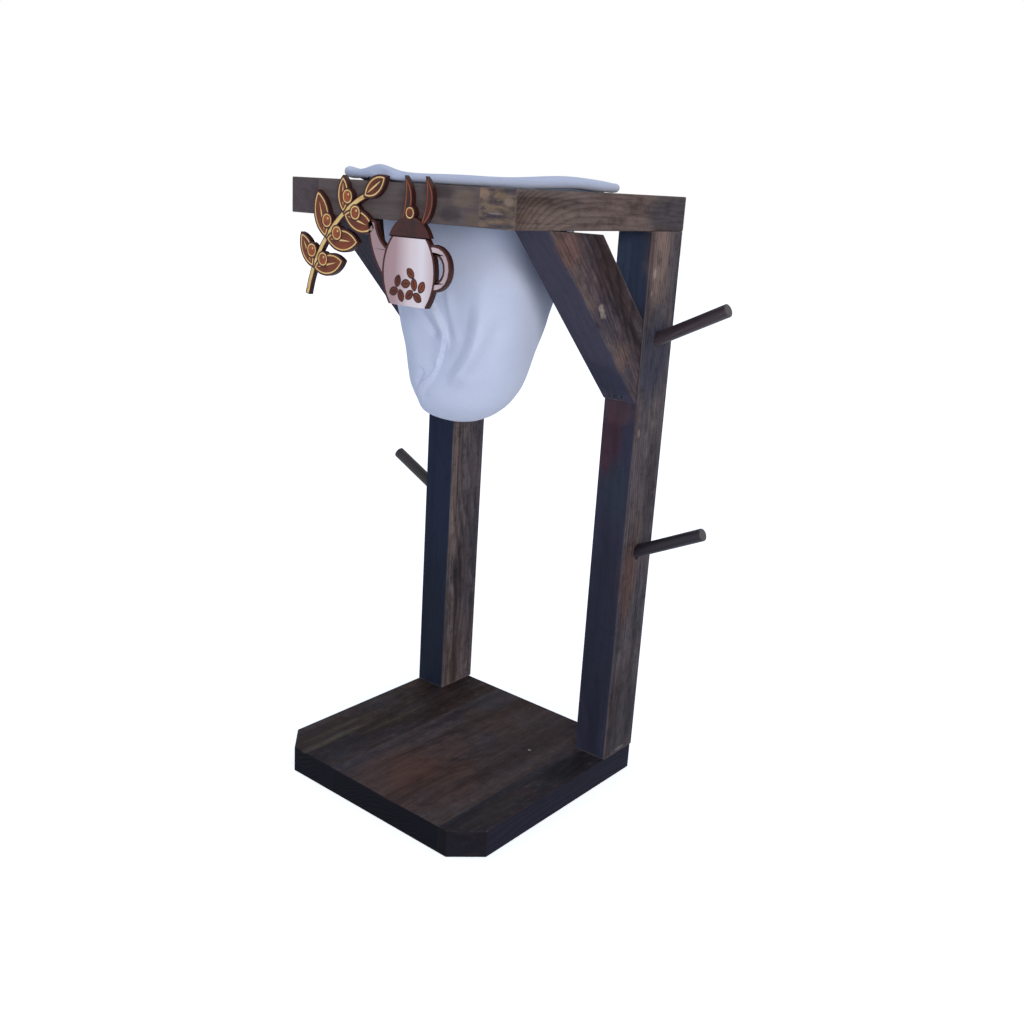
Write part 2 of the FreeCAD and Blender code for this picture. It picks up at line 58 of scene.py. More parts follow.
# %% [markdown]
# ## Colours and nodes
# Hex colours are what a paint chart or a picture shows, but shaders work with linear light, so
# one function does the change. A second function adds a shader node, sets its inputs and links
# it. An input that is left out keeps its default, and a node given as an input stands for its
# first output in use. The others take up what several pieces need: a colour mixed in by a
# pattern, the mesh of a curve, and the object that a finished shape becomes.

# %% Colours, nodes and pieces


def tint(code, alpha=1.0):
    """The linear colour of an sRGB hex code such as #6b5c57."""
    parts = [int(code[i : i + 2], 16) / 255 for i in (1, 3, 5)]
    linear = [c / 12.92 if c <= 0.04045 else ((c + 0.055) / 1.055) ** 2.4 for c in parts]
    return (*linear, alpha)


def add(tree, kind, inputs=(), **settings):
    """A new node; its inputs are numbers, colours, sockets or nodes, by place or by name."""
    node = tree.nodes.new("ShaderNode" + kind)
    for name, value in settings.items():
        setattr(node, name, value)
    pairs = inputs.items() if isinstance(inputs, dict) else enumerate(inputs)
    in_use = [socket for socket in node.inputs if socket.enabled]
    for key, value in pairs:
        socket = node.inputs[key] if isinstance(key, str) else in_use[key]
        if isinstance(value, bpy.types.Node):
            value = next(output for output in value.outputs if output.enabled)
        if isinstance(value, bpy.types.NodeSocket):
            tree.links.new(value, socket)
        else:
            socket.default_value = value
    return node


def new_material(name):
    """An empty material and its tree."""
    material = bpy.data.materials.new(name)
    material.use_nodes = True
    material.node_tree.nodes.clear()
    return material, material.node_tree


def mix_in(tree, colour, part, start, end, most, code, **settings):
    """The colour with another in it: none where part is at start, and most of it at end."""
    share = add(tree, "MapRange", [part, start, end, 0.0, most])
    return add(tree, "Mix", [share, colour, tint(code)], data_type="RGBA", **settings)


def mesh_of(curve):
    """The mesh that a curve makes."""
    holder = bpy.data.objects.new("curve", curve)
    mesh = bpy.data.meshes.new_from_object(holder)
    bpy.data.objects.remove(holder)
    return mesh


def finish_shape(shape, name, materials, smooth=True):
    """The object that a finished shape becomes, with its origin at the room's."""
    mesh = bpy.data.meshes.new(name)
    shape.to_mesh(mesh)
    shape.free()
    for material in materials:
        mesh.materials.append(material)
    if smooth:
        mesh.shade_smooth()
    piece = bpy.data.objects.new(name, mesh)
    scene.collection.objects.link(piece)
    return piece


print("ready to build pieces and materials")

# %% [markdown]
# ## The camera
# The photograph was taken from the right of the front, with the camera level with the stand's
# top and turned down to its middle. A camera fitted to the corners of the timber gives this
# place, this turn and this lens. The three directions are the picture's right, its up, and
# back towards the photographer. They are the columns of the camera's turn, because a camera in
# Blender looks down its own -Z.

# %% Put up the camera
EYE = Vector((0.4554, -0.5287, 0.4012))
PICTURE_RIGHT = Vector((0.7525, 0.6567, 0.0505))
PICTURE_UP = Vector((-0.2229, 0.1817, 0.9578))
TOWARDS_EYE = Vector((0.6198, -0.7319, 0.2831))

lens = bpy.data.cameras.new("camera")
lens.lens = 38.22
lens.sensor_width = 36
lens.shift_x = 0.0347
lens.shift_y = -0.0073
lens.clip_start = 0.01
camera = bpy.data.objects.new("camera", lens)
turn = Matrix((PICTURE_RIGHT, PICTURE_UP, TOWARDS_EYE)).transposed()
camera.matrix_world = Matrix.Translation(EYE) @ turn.to_4x4()
scene.collection.objects.link(camera)
scene.camera = camera
print("camera", round(EYE.length, 3), "m from the origin")

# %% [markdown]
# ## The studio
# The stand was cut out against white. A pale floor that the camera sees as almost white does
# the same and still keeps a soft shadow: the floor is a plain diffuse surface, and a little
# glow that only the camera, mirrors and glass see lifts it to white where the light is full.
# The world does the same behind it. For everything else the world is a weak, slightly cool
# sky, as in the shade of a wall outdoors. One wide, far lamp stands low in front, to the right
# of the camera, so that it reaches in under the frame to the bag and shades the left side of
# each fold. A lamp that far off lights the floor evenly to its edge.

# %% Floor and world


def seen_directly(tree):
    """1 for rays from the camera, from mirrors and through glass, and 0 for light."""
    path = add(tree, "LightPath")
    seen = path.outputs["Is Camera Ray"]
    for kind in ("Is Glossy Ray", "Is Transmission Ray"):
        seen = add(tree, "Math", [seen, path.outputs[kind]], operation="MAXIMUM")
    return seen


FLOOR_SIZE = 12
FLOOR_GLOW = 0.64
SKY_LIGHT = 0.68
sheet = bmesh.new()
bmesh.ops.create_grid(sheet, x_segments=1, y_segments=1, size=FLOOR_SIZE / 2)
paper, tree = new_material("white_paper_floor")
matte = add(tree, "BsdfDiffuse", {"Color": tint("#f3f3f4")})
glow = add(tree, "Math", [seen_directly(tree), FLOOR_GLOW], operation="MULTIPLY")
lit = add(tree, "Emission", {"Color": (1, 1, 1, 1), "Strength": glow})
both = add(tree, "AddShader", [matte, lit])
add(tree, "OutputMaterial", [both])
floor = finish_shape(sheet, "floor", [paper], smooth=False)

scene.view_settings.view_transform = "Standard"
world = bpy.data.worlds.new("studio")
world.use_nodes = True
scene.world = world
tree = world.node_tree
tree.nodes.clear()
sky = add(tree, "Background", {"Color": tint("#d8e6ff"), "Strength": SKY_LIGHT})
white = add(tree, "Background", {"Color": (1, 1, 1, 1), "Strength": 1})
mix = add(tree, "MixShader", [seen_directly(tree), sky, white])
add(tree, "OutputWorld", [mix])
print("floor", FLOOR_SIZE, "m wide")

# %% The lamp
LAMP_HEADING = -33
LAMP_HEIGHT = 7
LAMP_WIDTH = 40
LAMP_LIGHT = 1.95

light = bpy.data.lights.new("window", "SUN")
light.energy = LAMP_LIGHT
light.angle = math.radians(LAMP_WIDTH)
light.color = tint("#fffbf6")[:3]
window = bpy.data.objects.new("window", light)
window.rotation_euler = (0, math.radians(90 - LAMP_HEIGHT), math.radians(LAMP_HEADING))
scene.collection.objects.link(window)
print("the lamp is", LAMP_HEIGHT, "degrees up and", LAMP_WIDTH, "degrees wide")

# %% [markdown]
# ## Stained pine
# The boards are sawn pine, sanded by hand and wiped with a dark walnut stain, then left matt.
# Stain sinks into the soft pale wood between the rings and skips the dense ring lines and the
# rubbed edges, so a board is never one brown: it has cool black-brown bands, reddish ones and
# worn olive-grey ones, fine fibres along the length, and a lighter rim at its arrises, which is
# partly that wear and partly a painted highlight.
#
# A photograph of wood would repeat and would stop at the edges. Here every board is cut from
# its own log instead. The pattern works in the board's own axes, with Z along the grain. The
# distance from the log's pith, divided by the width of a year's growth, gives the ring lines.
# A slow sway along the grain bends them into the arches that a sawn face shows, and the end
# of the board shows the same rings as arcs, because it is the same solid pattern.

# %% The board's own axes

ALONG_Z = Euler((0, 0, 0))
ALONG_Y = Euler((math.radians(-90), 0, 0))
ALONG_X = Euler((0, math.radians(90), 0))


def own_axes(node, turn):
    """The middle of a board in the room, and half its size along its own axes, in metres."""
    spin = turn.to_matrix()
    points = [spin.transposed() @ corner.co for corner in nodes[node].data.vertices]
    low = Vector(map(min, zip(*points)))
    high = Vector(map(max, zip(*points)))
    return spin @ ((low + high) / 2), (high - low) / 2


def brace_turn():
    """Braces lean: their length runs from the arm down and back to the post."""
    low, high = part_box("brace_right")
    post_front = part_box("post_right")[0].y
    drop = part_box("arm_right")[0].z - low.z
    reach = post_front - low.y
    return Euler((math.atan2(reach, drop), 0, 0))


LEANING = brace_turn()
print("braces lean", round(math.degrees(LEANING.x), 1), "degrees")

# %% Soft spots, and worn edges with a painted highlight


def dab(tree, place, colour, spots, seed, ragged):
    """The colour with spots on it: (centre, radii, colour, strength) in millimetres in the room."""
    for number, (centre, radii, code, strength) in enumerate(spots):
        ball = add(tree, "Mapping", {0: place, "Location": Vector(centre) * MM,
                                     "Scale": Vector(radii) * MM}, vector_type="TEXTURE")
        far = add(tree, "VectorMath", [ball], operation="LENGTH")
        rough = add(tree, "TexNoise", {"Vector": ball, "Scale": 2.3, "Detail": 3.0,
                                       "W": seed + number}, noise_dimensions="4D")
        bent = add(tree, "Math", [rough, 2 * ragged, far.outputs["Value"]],
                   operation="MULTIPLY_ADD")
        inside = add(tree, "MapRange", [bent, 1.25 + ragged, 0.55 + ragged, 0.0, 1.0],
                     interpolation_type="SMOOTHSTEP")
        share = add(tree, "Math", [inside, strength], operation="MULTIPLY")
        colour = add(tree, "Mix", [share, colour, tint(code)], data_type="RGBA")
    return colour


def near_edge(tree, own, half, reach):
    """1 on a board's arrises, fading within reach (millimetres): there two faces are close."""
    inside = add(tree, "VectorMath", [own], operation="ABSOLUTE")
    depth = add(tree, "VectorMath", [half / MM, inside], operation="SUBTRACT")
    gaps = add(tree, "SeparateXYZ", [depth])
    x, y, z = gaps.outputs
    pairs = [add(tree, "Math", pair, operation="MAXIMUM") for pair in ((x, y), (y, z), (x, z))]
    nearest = add(tree, "Math", pairs[:2], operation="MINIMUM")
    nearest = add(tree, "Math", [nearest, pairs[2]], operation="MINIMUM")
    return add(tree, "MapRange", [nearest, reach, 0.0, 0.0, 1.0], interpolation_type="SMOOTHSTEP")


print("spots and edges ready")

# %% A log for each board


def stained_pine(node, turn, pith, ring=2.6, ground="#554a47", faces=(), tones=(), marks=(),
                 sweep=None, grain=1.0, rubbed=1.0, seed=0.0):
    """Stained pine, cut to a board's own axes.

    pith is the middle of the log in the board's cross-section, ring a year's growth, sweep
    (rise, reach) of ring lines that dive at the board's front end, all in millimetres. faces
    are (direction, colour) of faces with a colour of their own, and further colours there show
    in patches: thirsty end grain took the stain otherwise, and the darker, cooler faces at the
    front and underneath are painted shade. tones are spots under the grain, and marks are spots
    over it: knots, chips and specks; a few dark tones are painted shade. grain is how strongly
    lines, bands and fibres show, and rubbed how worn the arrises are: their lighter rim is
    partly that wear and partly a painted highlight.
    """
    middle, half = own_axes(node, turn)
    material, tree = new_material("stained_pine_" + node)
    coordinates = add(tree, "TexCoord")
    room = coordinates.outputs["Object"]
    own = add(tree, "Mapping", {0: room, "Location": middle, "Rotation": turn,
                                "Scale": (MM, MM, MM)}, vector_type="TEXTURE")

    # Seven noises with their sizes across and along the board: the slow sway of the trunk, the
    # wobble of its ring lines, fibres, the bands where stain took more or less, the broad
    # change of tone, mottling, and smears over a face.
    noises = []
    for shift, sizes, detail, roughness in (
        ((seed, 0, 0), (50, 50, 210), 1.0, 0.5),
        ((0, seed, 0), (9, 9, 45), 2.0, 0.5),
        ((0, 0, seed), (1.3, 1.3, 20), 3.0, 0.6),
        ((seed, seed, 0), (13, 13, 240), 3.0, 0.5),
        ((seed, 3, 1), (26, 26, 70), 4.0, 0.6),
        ((2, seed, 5), (5, 5, 8), 4.0, 0.7),
        ((seed, 1, 4), (11, 3, 11), 3.0, 0.6),
    ):
        shares = [1 / size for size in sizes]
        spread = add(tree, "Mapping", {0: own, "Location": shift, "Scale": shares})
        noises.append(add(tree, "TexNoise", {"Vector": spread, "Scale": 1.0, "Detail": detail,
                                             "Roughness": roughness}))
    sway, wobble, fibre, streak, blotch, mottle, smear = noises

    # The first two bend the log, and the distance from its pith gives the rings.
    bent = own
    for drift, reach in ((sway, 34), (wobble, 3.4)):
        drift = add(tree, "VectorMath", [drift.outputs["Color"], (0.5, 0.5, 0.5)],
                    operation="SUBTRACT")
        bent = add(tree, "VectorMath", [drift, (reach, reach, 0), bent], operation="MULTIPLY_ADD")
    if sweep:
        rise, reach = sweep
        along = add(tree, "SeparateXYZ", [own]).outputs["Z"]
        into = add(tree, "Math", [along, 1 / reach, half.z / MM / reach], operation="MULTIPLY_ADD")
        fading = add(tree, "Math", [into, -1.0], operation="MULTIPLY")
        fading = add(tree, "Math", [math.e, fading], operation="POWER")
        lift = add(tree, "CombineXYZ", {"Y": fading})
        bent = add(tree, "VectorMath", [lift, (0, -rise, 0), bent], operation="MULTIPLY_ADD")
    flat = add(tree, "VectorMath", [bent, (1, 1, 0)], operation="MULTIPLY")
    radius = add(tree, "VectorMath", [flat, (*pith, 0)], operation="DISTANCE").outputs["Value"]
    year = add(tree, "Math", [radius, 1 / ring], operation="MULTIPLY")
    year = add(tree, "Math", [year], operation="FRACT")
    late = add(tree, "MapRange", [year, 0.25, 0.86, 0.0, 1.0], interpolation_type="SMOOTHSTEP")
    stop = add(tree, "MapRange", [year, 1.0, 0.9, 0.0, 1.0], interpolation_type="SMOOTHSTEP")
    rings = add(tree, "Math", [late, stop], operation="MULTIPLY")

    # The ground tone, with its reddish and its cool areas, and the places that stayed light:
    # bands and fibres that took little stain, and mottling where it was wiped off.
    colour = tint(ground)
    for part, start, end, most, code in (
        (blotch, 0.5, 0.7, 0.7, "#4c3933"),
        (blotch, 0.5, 0.32, 0.75, "#3d3b42"),
        (streak, 0.46, 0.3, 0.3 * grain, "#75655a"),
        (fibre, 0.44, 0.26, 0.16 * grain, "#8a7b70"),
        (mottle, 0.46, 0.28, 0.25 * grain, "#8c7e73"),
    ):
        colour = mix_in(tree, colour, part, start, end, most, code)

    # Faces and areas with a colour of their own: end grain that took the stain otherwise, and
    # painted shade on faces that stand in the shade. Their grain shows less.
    grain_shows = 1.0
    for direction, code, *patches in faces:
        face_stain_and_shade = tint(code)
        for patch in patches:
            face_stain_and_shade = mix_in(tree, face_stain_and_shade, smear, 0.4, 0.64, 1.0, patch)
        facing = add(tree, "VectorMath", [coordinates.outputs["Normal"], direction],
                     operation="DOT_PRODUCT")
        facing = add(tree, "MapRange", [facing.outputs["Value"], 0.5, 0.85, 0.0, 1.0])
        colour = add(tree, "Mix", [facing, colour, face_stain_and_shade], data_type="RGBA")
        hides = add(tree, "MapRange", [facing, 0.0, 1.0, 1.0, 0.35])
        grain_shows = add(tree, "Math", [grain_shows, hides], operation="MULTIPLY")
    colour = dab(tree, room, colour, tones, seed, 0.35)

    # The grain darkens all of it: ring lines, bands, fibres and pooled stain each multiply.
    ring_part = add(tree, "MapRange", [streak, 0.35, 0.65, 0.25 * grain, 0.75 * grain])
    ring_part = add(tree, "Math", [rings, ring_part], operation="MULTIPLY")
    shade = add(tree, "Mix", [ring_part, tint("#ffffff"), tint("#9c9394")], data_type="RGBA")
    for part, start, end, most, code in (
        (streak, 0.5, 0.66, 0.8, "#9b9092"),
        (fibre, 0.48, 0.68, 0.55, "#a89ea0"),
        (mottle, 0.5, 0.68, 0.6, "#8b878c"),
    ):
        shade = mix_in(tree, shade, part, start, end, most * grain, code, blend_type="MULTIPLY")
    colour = add(tree, "Mix", [grain_shows, colour, shade], data_type="RGBA",
                 blend_type="MULTIPLY")

    # Rubbed arrises, broken up by the bands: the lighter rim is partly wear and partly a painted
    # highlight. Then the marks that lie over everything.
    rim = near_edge(tree, own, half, 1.3)
    worn = add(tree, "MapRange", [streak, 0.35, 0.62, 0.0, 0.35 * rubbed])
    rim = add(tree, "Math", [rim, worn], operation="MULTIPLY")
    colour = add(tree, "Mix", [rim, colour, tint("#7b6d64")], data_type="RGBA")
    colour = dab(tree, room, colour, marks, seed + 20, 0.4)

    # Matt stain: the dense lines are a little smoother and stand a little proud.
    gloss = add(tree, "MapRange", [rings, 0.0, 1.0, 0.7, 0.56])
    relief = add(tree, "Math", [rings, 0.6, fibre], operation="MULTIPLY_ADD")
    bump = add(tree, "Bump", {"Strength": 0.3, "Distance": 0.3 * MM, "Height": relief})
    wood = add(tree, "BsdfPrincipled", {"Base Color": colour, "Roughness": gloss, "Normal": bump,
                                        "Specular IOR Level": 0.05, "IOR": 1.5})
    add(tree, "OutputMaterial", [wood])
    return material


def dress(node, material):
    """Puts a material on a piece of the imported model."""
    for place in nodes[node].material_slots:
        place.material = material


print("pine ready")

# %% [markdown]
# ## Which board came from where in the log
# Each board gets its own pith, so that some faces show straight lines (cut through the middle
# of the log) and some show arches (cut near its outside). The tones and marks are the ones
# that give this stand its character: the worn pale patch on the right arm's front end, the
# steep arches behind it, the reddish stain under the brace, the knots in the base. Painted
# shade is here too: the darker, cooler front faces of the posts and the base, the base's right
# side, the braces' under faces, the cool tones on the posts' fronts, the dark tone where the
# right brace meets its post, and the painted shadow in front of the right post's foot.

# %% Posts, arms, rails, braces and base
FRONT = (0, -1, 0)
RIGHT = (1, 0, 0)

BOARDS = {
    "post_right": dict(
        # Painted shade: the front face's darker, cooler colour, and the cool tones on the front at
        # 110, 212 and 350 mm up.
        turn=ALONG_Z, pith=(60, 90), seed=1.7, ground="#564f52", faces=((FRONT, "#383847"),),
        tones=(
            ((74, 55, 350), (16, 8, 40), "#46536a", 0.8),
            ((72, 55, 243), (10, 10, 26), "#4d3036", 0.65),
            ((80, 55, 212), (12, 8, 24), "#353b47", 0.7),
            ((76, 55, 265), (14, 8, 10), "#5a4145", 0.6),
            ((76, 55, 110), (18, 6, 90), "#2b2c38", 0.7),
            ((90, 60, 200), (5, 4, 70), "#615658", 0.6),
            ((90, 66, 364), (8, 12, 30), "#867167", 0.8),
            ((90, 70, 300), (12, 18, 30), "#3a3a48", 0.8),
            ((90, 80, 215), (10, 8, 40), "#373338", 0.6),
            ((90, 64, 148), (8, 9, 34), "#5f433a", 0.6),
            ((90, 72, 50), (10, 16, 40), "#353336", 0.6),
        ),
        marks=(
            ((90, 60.8, 252), (3, 1.4, 3), "#7b6d64", 0.8),
            ((90, 61.8, 353), (3, 1.8, 3.4), "#9a8a7e", 0.7),
            ((90, 60, 341), (3, 1.2, 2), "#8a7b6f", 0.5),
            ((90, 74, 21), (3, 6, 1.1), "#706966", 0.6),
        ),
    ),
    "post_left": dict(
        # Painted shade: the front face's darker, cooler colour, and the dark cool tone low on the
        # front.
        turn=ALONG_Z, pith=(-70, 55), seed=5.1, ground="#6a5f5e", faces=((FRONT, "#272d3e"),),
        tones=(
            ((-65, 60, 190), (5, 2, 60), "#867164", 0.8),
            ((-65, 82, 190), (10, 10, 160), "#464148", 0.6),
            ((-78, 55, 70), (18, 5, 70), "#20242f", 0.6),
        ),
    ),
    "arm_right": dict(
        turn=ALONG_Y, grain=0.8, pith=(30, 85), ring=3.4, seed=3.3, ground="#6d5d56",
        sweep=(26, 24), faces=((FRONT, "#88735f", "#4f4649"),),
        tones=(
            ((89, -52, 389), (14, 26, 14), "#7c695c", 0.5),
            ((89, 80, 389), (14, 34, 14), "#39383f", 0.7),
        ),
        marks=(
            ((67, -77, 396), (4.4, 3, 3.4), "#a5866e", 0.5),
            ((84, -77, 392.6), (3.4, 3, 2.2), "#9b8c7d", 0.4),
            ((84.4, -77, 397.6), (4, 3, 1.6), "#46464f", 0.5),
            ((75.4, -77, 386.4), (6, 3, 0.6), "#958880", 0.5),
            ((79, -77, 380.2), (10, 3, 1.4), "#47454d", 0.5),
        ),
    ),
    "arm_left": dict(turn=ALONG_Y, pith=(-35, 70), seed=8.9, ground="#5a4d48",
                     faces=((FRONT, "#5b5051"),)),
    "front_rail": dict(
        turn=ALONG_X, pith=(40, 60), seed=2.2, ground="#5f544f", faces=((FRONT, "#665a57"),),
        tones=(
            ((53, -77, 393), (9, 5, 5), "#82705f", 0.6),
            ((43, -77, 384), (9, 5, 4), "#40373a", 0.6),
            ((60, -77, 382), (5, 5, 4), "#74644f", 0.5),
            ((34, -77, 396), (12, 5, 4), "#3d3637", 0.6),
            ((12, -77, 388), (10, 5, 8), "#584944", 0.5),
        ),
    ),
    "back_rail": dict(turn=ALONG_X, pith=(-30, 80), seed=6.4, ground="#544845"),
    "brace_right": dict(
        turn=LEANING, pith=(75, 30), seed=4.6, rubbed=1.8, ground="#55484a",
        # Painted shade: the brace's cooler front and under face.
        faces=(((0, -0.7, -0.7), "#4d4a58"),),
        tones=(
            ((95, -30, 368), (9, 18, 16), "#705349", 0.8),
            ((95, 12, 330), (9, 18, 18), "#413a45", 0.8),
            ((95, 36, 302), (9, 12, 14), "#6f594e", 0.7),
            # Painted shade: the cool dark tone where the brace meets the post.
            ((76, 40, 288), (16, 16, 16), "#35394a", 0.6),
        ),
        marks=(
            ((89, 7.6, 334.6), (3, 2.6, 2.4), "#a39282", 0.5),
            ((89, 9.6, 331.4), (3, 2.4, 3.2), "#a39282", 0.5),
            ((89, 12.4, 329.4), (3, 1.6, 1.6), "#98877a", 0.4),
        ),
    ),
    # Painted shade: the left brace's cooler front and under face.
    "brace_left": dict(turn=LEANING, pith=(-65, 40), seed=7.7, ground="#4d423f",
                       faces=(((0, -0.7, -0.7), "#423e47"),)),
    "base_board_left": dict(
        turn=ALONG_Y, grain=0.65, rubbed=0.1, pith=(10, 120), seed=9.2, ground="#372c2a",
        # Painted shade: the near-black front face.
        faces=((FRONT, "#0e1018"),),
        tones=(
            ((-62, -60, 22), (4.2, 44, 5), "#5e5746", 0.9),
            ((-53, -10, 22), (3.2, 50, 5), "#524b3d", 0.8),
            ((-72, -40, 22), (3, 40, 5), "#524b3d", 0.8),
        ),
    ),
    "base_board_middle": dict(
        turn=ALONG_Y, grain=0.65, rubbed=0.1, pith=(25, 95), seed=11.5, ground="#4e4241",
        # Painted shade: the near-black front face.
        faces=((FRONT, "#0e0f17"),),
        tones=(
            ((12, -50, 22), (46, 62, 5), "#5e4338", 0.95),
            ((38, 30, 18.5), (20, 50, 6), "#4c3c3a", 0.6),
            ((-22, 55, 18.5), (14, 44, 6), "#3e3c42", 0.6),
            ((0, 40, 18.5), (30, 16, 6), "#57412f", 0.35),
        ),
        marks=(
            ((45, 28, 18.5), (1.3, 0.8, 2), "#b6b0a8", 0.9),
            ((40.2, 26.8, 18.5), (2.8, 1.8, 3), "#251c1c", 0.7),
            ((43.4, 13.9, 18.5), (2.2, 1.5, 3), "#251c1c", 0.6),
        ),
    ),
    "base_board_right": dict(
        turn=ALONG_Y, grain=0.65, rubbed=0.1, pith=(-40, 75), seed=12.8, ground="#332e33",
        # Painted shade: the darker, cooler right side and the near-black front face.
        faces=((RIGHT, "#1e1d2a"), (FRONT, "#141318")),
        tones=(
            ((78, -50, 18.5), (9, 30, 5), "#3d3935", 0.6),
            # A painted shadow: the dark tone on the base in front of the right post's foot.
            ((78, 26, 18.5), (12, 26, 5), "#101217", 0.7),
        ),
    ),
}
for node, facts in BOARDS.items():
    dress(node, stained_pine(node, **facts))
print(len(BOARDS), "boards dressed")

# %% [markdown]
# ## The filter bag
# The filter is one piece of brushed cotton, sewn to a round-bottomed bag. It hangs from a wire
# ring that rests on the frame: the cloth lies on the wood, bends down over the inner edges of
# the frame and hangs through the opening, and its mouth is folded inwards round the wire.
#
# The bag is round, so it starts as a profile that is turned about its axis. The profile is a
# Bezier curve whose handles Blender sets, so that a few points make a smooth line from the
# lowest point, up the wall, over the shoulder, along the wood and round the wire. Cloth is
# never quite round, though. The second step pushes it out where it hangs free in the corners
# of the square opening, leans it to the side that it sags to, and draws the pinched folds of
# the front one by one: each fold is a route over the wall with a height and a width to each side.
# That keeps the folds exactly where the photograph has them, which a simulation would not.
# The folds are small, so the rows of faces lie close together at their height and are thinned
# out elsewhere, and the columns are drawn together towards the side that the folds face.

# %% Draw the profile and turn it

bag_low, bag_high = (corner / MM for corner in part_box("filter_bag"))
ring_low, ring_high = (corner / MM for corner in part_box("filter_hoop"))
wood_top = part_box("arm_right")[1].z / MM
AXIS = (bag_low + bag_high) / 2
WIRE = (ring_high.z - ring_low.z) / 2
RING = (ring_high.x - ring_low.x) / 2 - WIRE
RING_HEIGHT = (ring_high.z + ring_low.z) / 2
CLOTH = 0.9
ROLL = WIRE + CLOTH + 0.45


def roll_point(degrees):
    """A point of the cloth round the wire; 0 is the outermost, and 90 the highest."""
    turned = math.radians(degrees)
    return RING + ROLL * math.cos(turned), RING_HEIGHT + ROLL * math.sin(turned)


bottom = bag_low.z
NECK = 53.9
PROFILE = [
    (0, bottom), (14, bottom + 2), (26.8, bottom + 9.5), (34.7, bottom + 20.3),
    (38.8, bottom + 31.5), (41.2, bottom + 42.5), (43.1, bottom + 52), (45.2, bottom + 61),
    (47.4, bottom + 74),
    (49.3, bottom + 87), (50.8, bottom + 98.5), (52, bottom + 110), (53.4, bottom + 132),
    (NECK, wood_top - 4), (55.2, wood_top - 0.6), (58.5, wood_top + 0.5), (78, wood_top + 0.35),
]
HEM = [PROFILE[-1], *[roll_point(degrees) for degrees in range(-90, 200, 48)],
       (RING - 4.2, wood_top + 2.3), (RING - 6.5, wood_top + 2.0)]


def smooth_line(points, steps):
    """A mesh of edges along a Bezier curve through (radius, height) points in millimetres."""
    curve = bpy.data.curves.new("profile", "CURVE")
    curve.dimensions = "3D"
    curve.resolution_u = steps
    spline = curve.splines.new("BEZIER")
    spline.bezier_points.add(len(points) - 1)
    for knot, (radius, height) in zip(spline.bezier_points, points):
        knot.co = (radius, 0, height)
        knot.handle_left_type = knot.handle_right_type = "AUTO"
    return mesh_of(curve)


def turn_round(shape, steps):
    """Turns a line of edges about the axis to a closed surface."""
    bmesh.ops.spin(shape, geom=shape.verts[:] + shape.edges[:], axis=(0, 0, 1), cent=(0, 0, 0),
                   angle=math.tau, steps=steps, use_merge=True)
    bmesh.ops.remove_doubles(shape, verts=shape.verts, dist=0.001)
    bmesh.ops.recalc_face_normals(shape, faces=shape.faces)


FOLDED = (bottom + 6, bottom + 96)
FOLDS_FACE = math.radians(-75)
DRAWN_TOGETHER = 0.5
HEM_WIDTH = 22
COLUMNS = 290
bag = bmesh.new()
run_layer = bag.verts.layers.float.new("run")
walked = 0.0
for points, steps in ((PROFILE, 12), (HEM, 4)):
    known = set(bag.edges)
    bag.from_mesh(smooth_line(points, steps))
    for edge in [edge for edge in bag.edges if edge not in known]:
        start, end = edge.verts
        start[run_layer] = walked
        walked += edge.calc_length()
        end[run_layer] = walked
    if points is PROFILE:
        spare = [corner for number, corner in enumerate(bag.verts)
                 if number % 3 and not FOLDED[0] < corner.co.z < FOLDED[1]]
        bmesh.ops.dissolve_verts(bag, verts=spare)
turn_round(bag, COLUMNS)
for corner in bag.verts:
    heading = math.atan2(corner.co.y, corner.co.x)
    closer = -DRAWN_TOGETHER * math.sin(heading - FOLDS_FACE)
    corner.co.rotate(Matrix.Rotation(closer, 3, "Z"))
HEM_RUN = walked - HEM_WIDTH
print("bag", len(bag.faces), "faces, cloth from the middle to the hem", round(walked), "mm")

# %% Where the opening's corners are

opening_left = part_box("arm_left")[1].x / MM
opening_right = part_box("arm_right")[0].x / MM
opening_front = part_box("front_rail")[1].y / MM
opening_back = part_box("back_rail")[0].y / MM
CORNERS = [math.degrees(math.atan2(y - AXIS.y, x - AXIS.x))
           for x in (opening_left, opening_right) for y in (opening_front, opening_back)]


def ease(value, start, end):
    """0 at start, 1 at end, and smooth between them."""
    part = min(max((value - start) / (end - start), 0.0), 1.0)
    return part * part * (3 - 2 * part)


def lobe(angle, centre, width):
    """1 at an angle, falling off to both sides, in degrees."""
    apart = (angle - centre + 180) % 360 - 180
    return math.exp(-((apart / width) ** 2))


print("corners at", [round(corner) for corner in CORNERS], "degrees")

# %% The folds of the front and the back

DEGREE = 0.77  # millimetres of wall to a degree


def through(points, steps=8):
    """A dense smooth route through (degrees, height) points, in millimetres over the wall."""
    flat = [Vector((angle * DEGREE, height)) for angle, height in points]
    ends = [flat[0] * 2 - flat[1], *flat, flat[-1] * 2 - flat[-2]]
    route = []
    for a, b, c, d in zip(ends, ends[1:], ends[2:], ends[3:]):
        for step in range(steps):
            t = step / steps
            route.append(0.5 * (2 * b + (c - a) * t + (2 * a - 5 * b + 4 * c - d) * t * t
                                + (3 * b - a - 3 * c + d) * t ** 3))
    route.append(flat[-1])
    return route


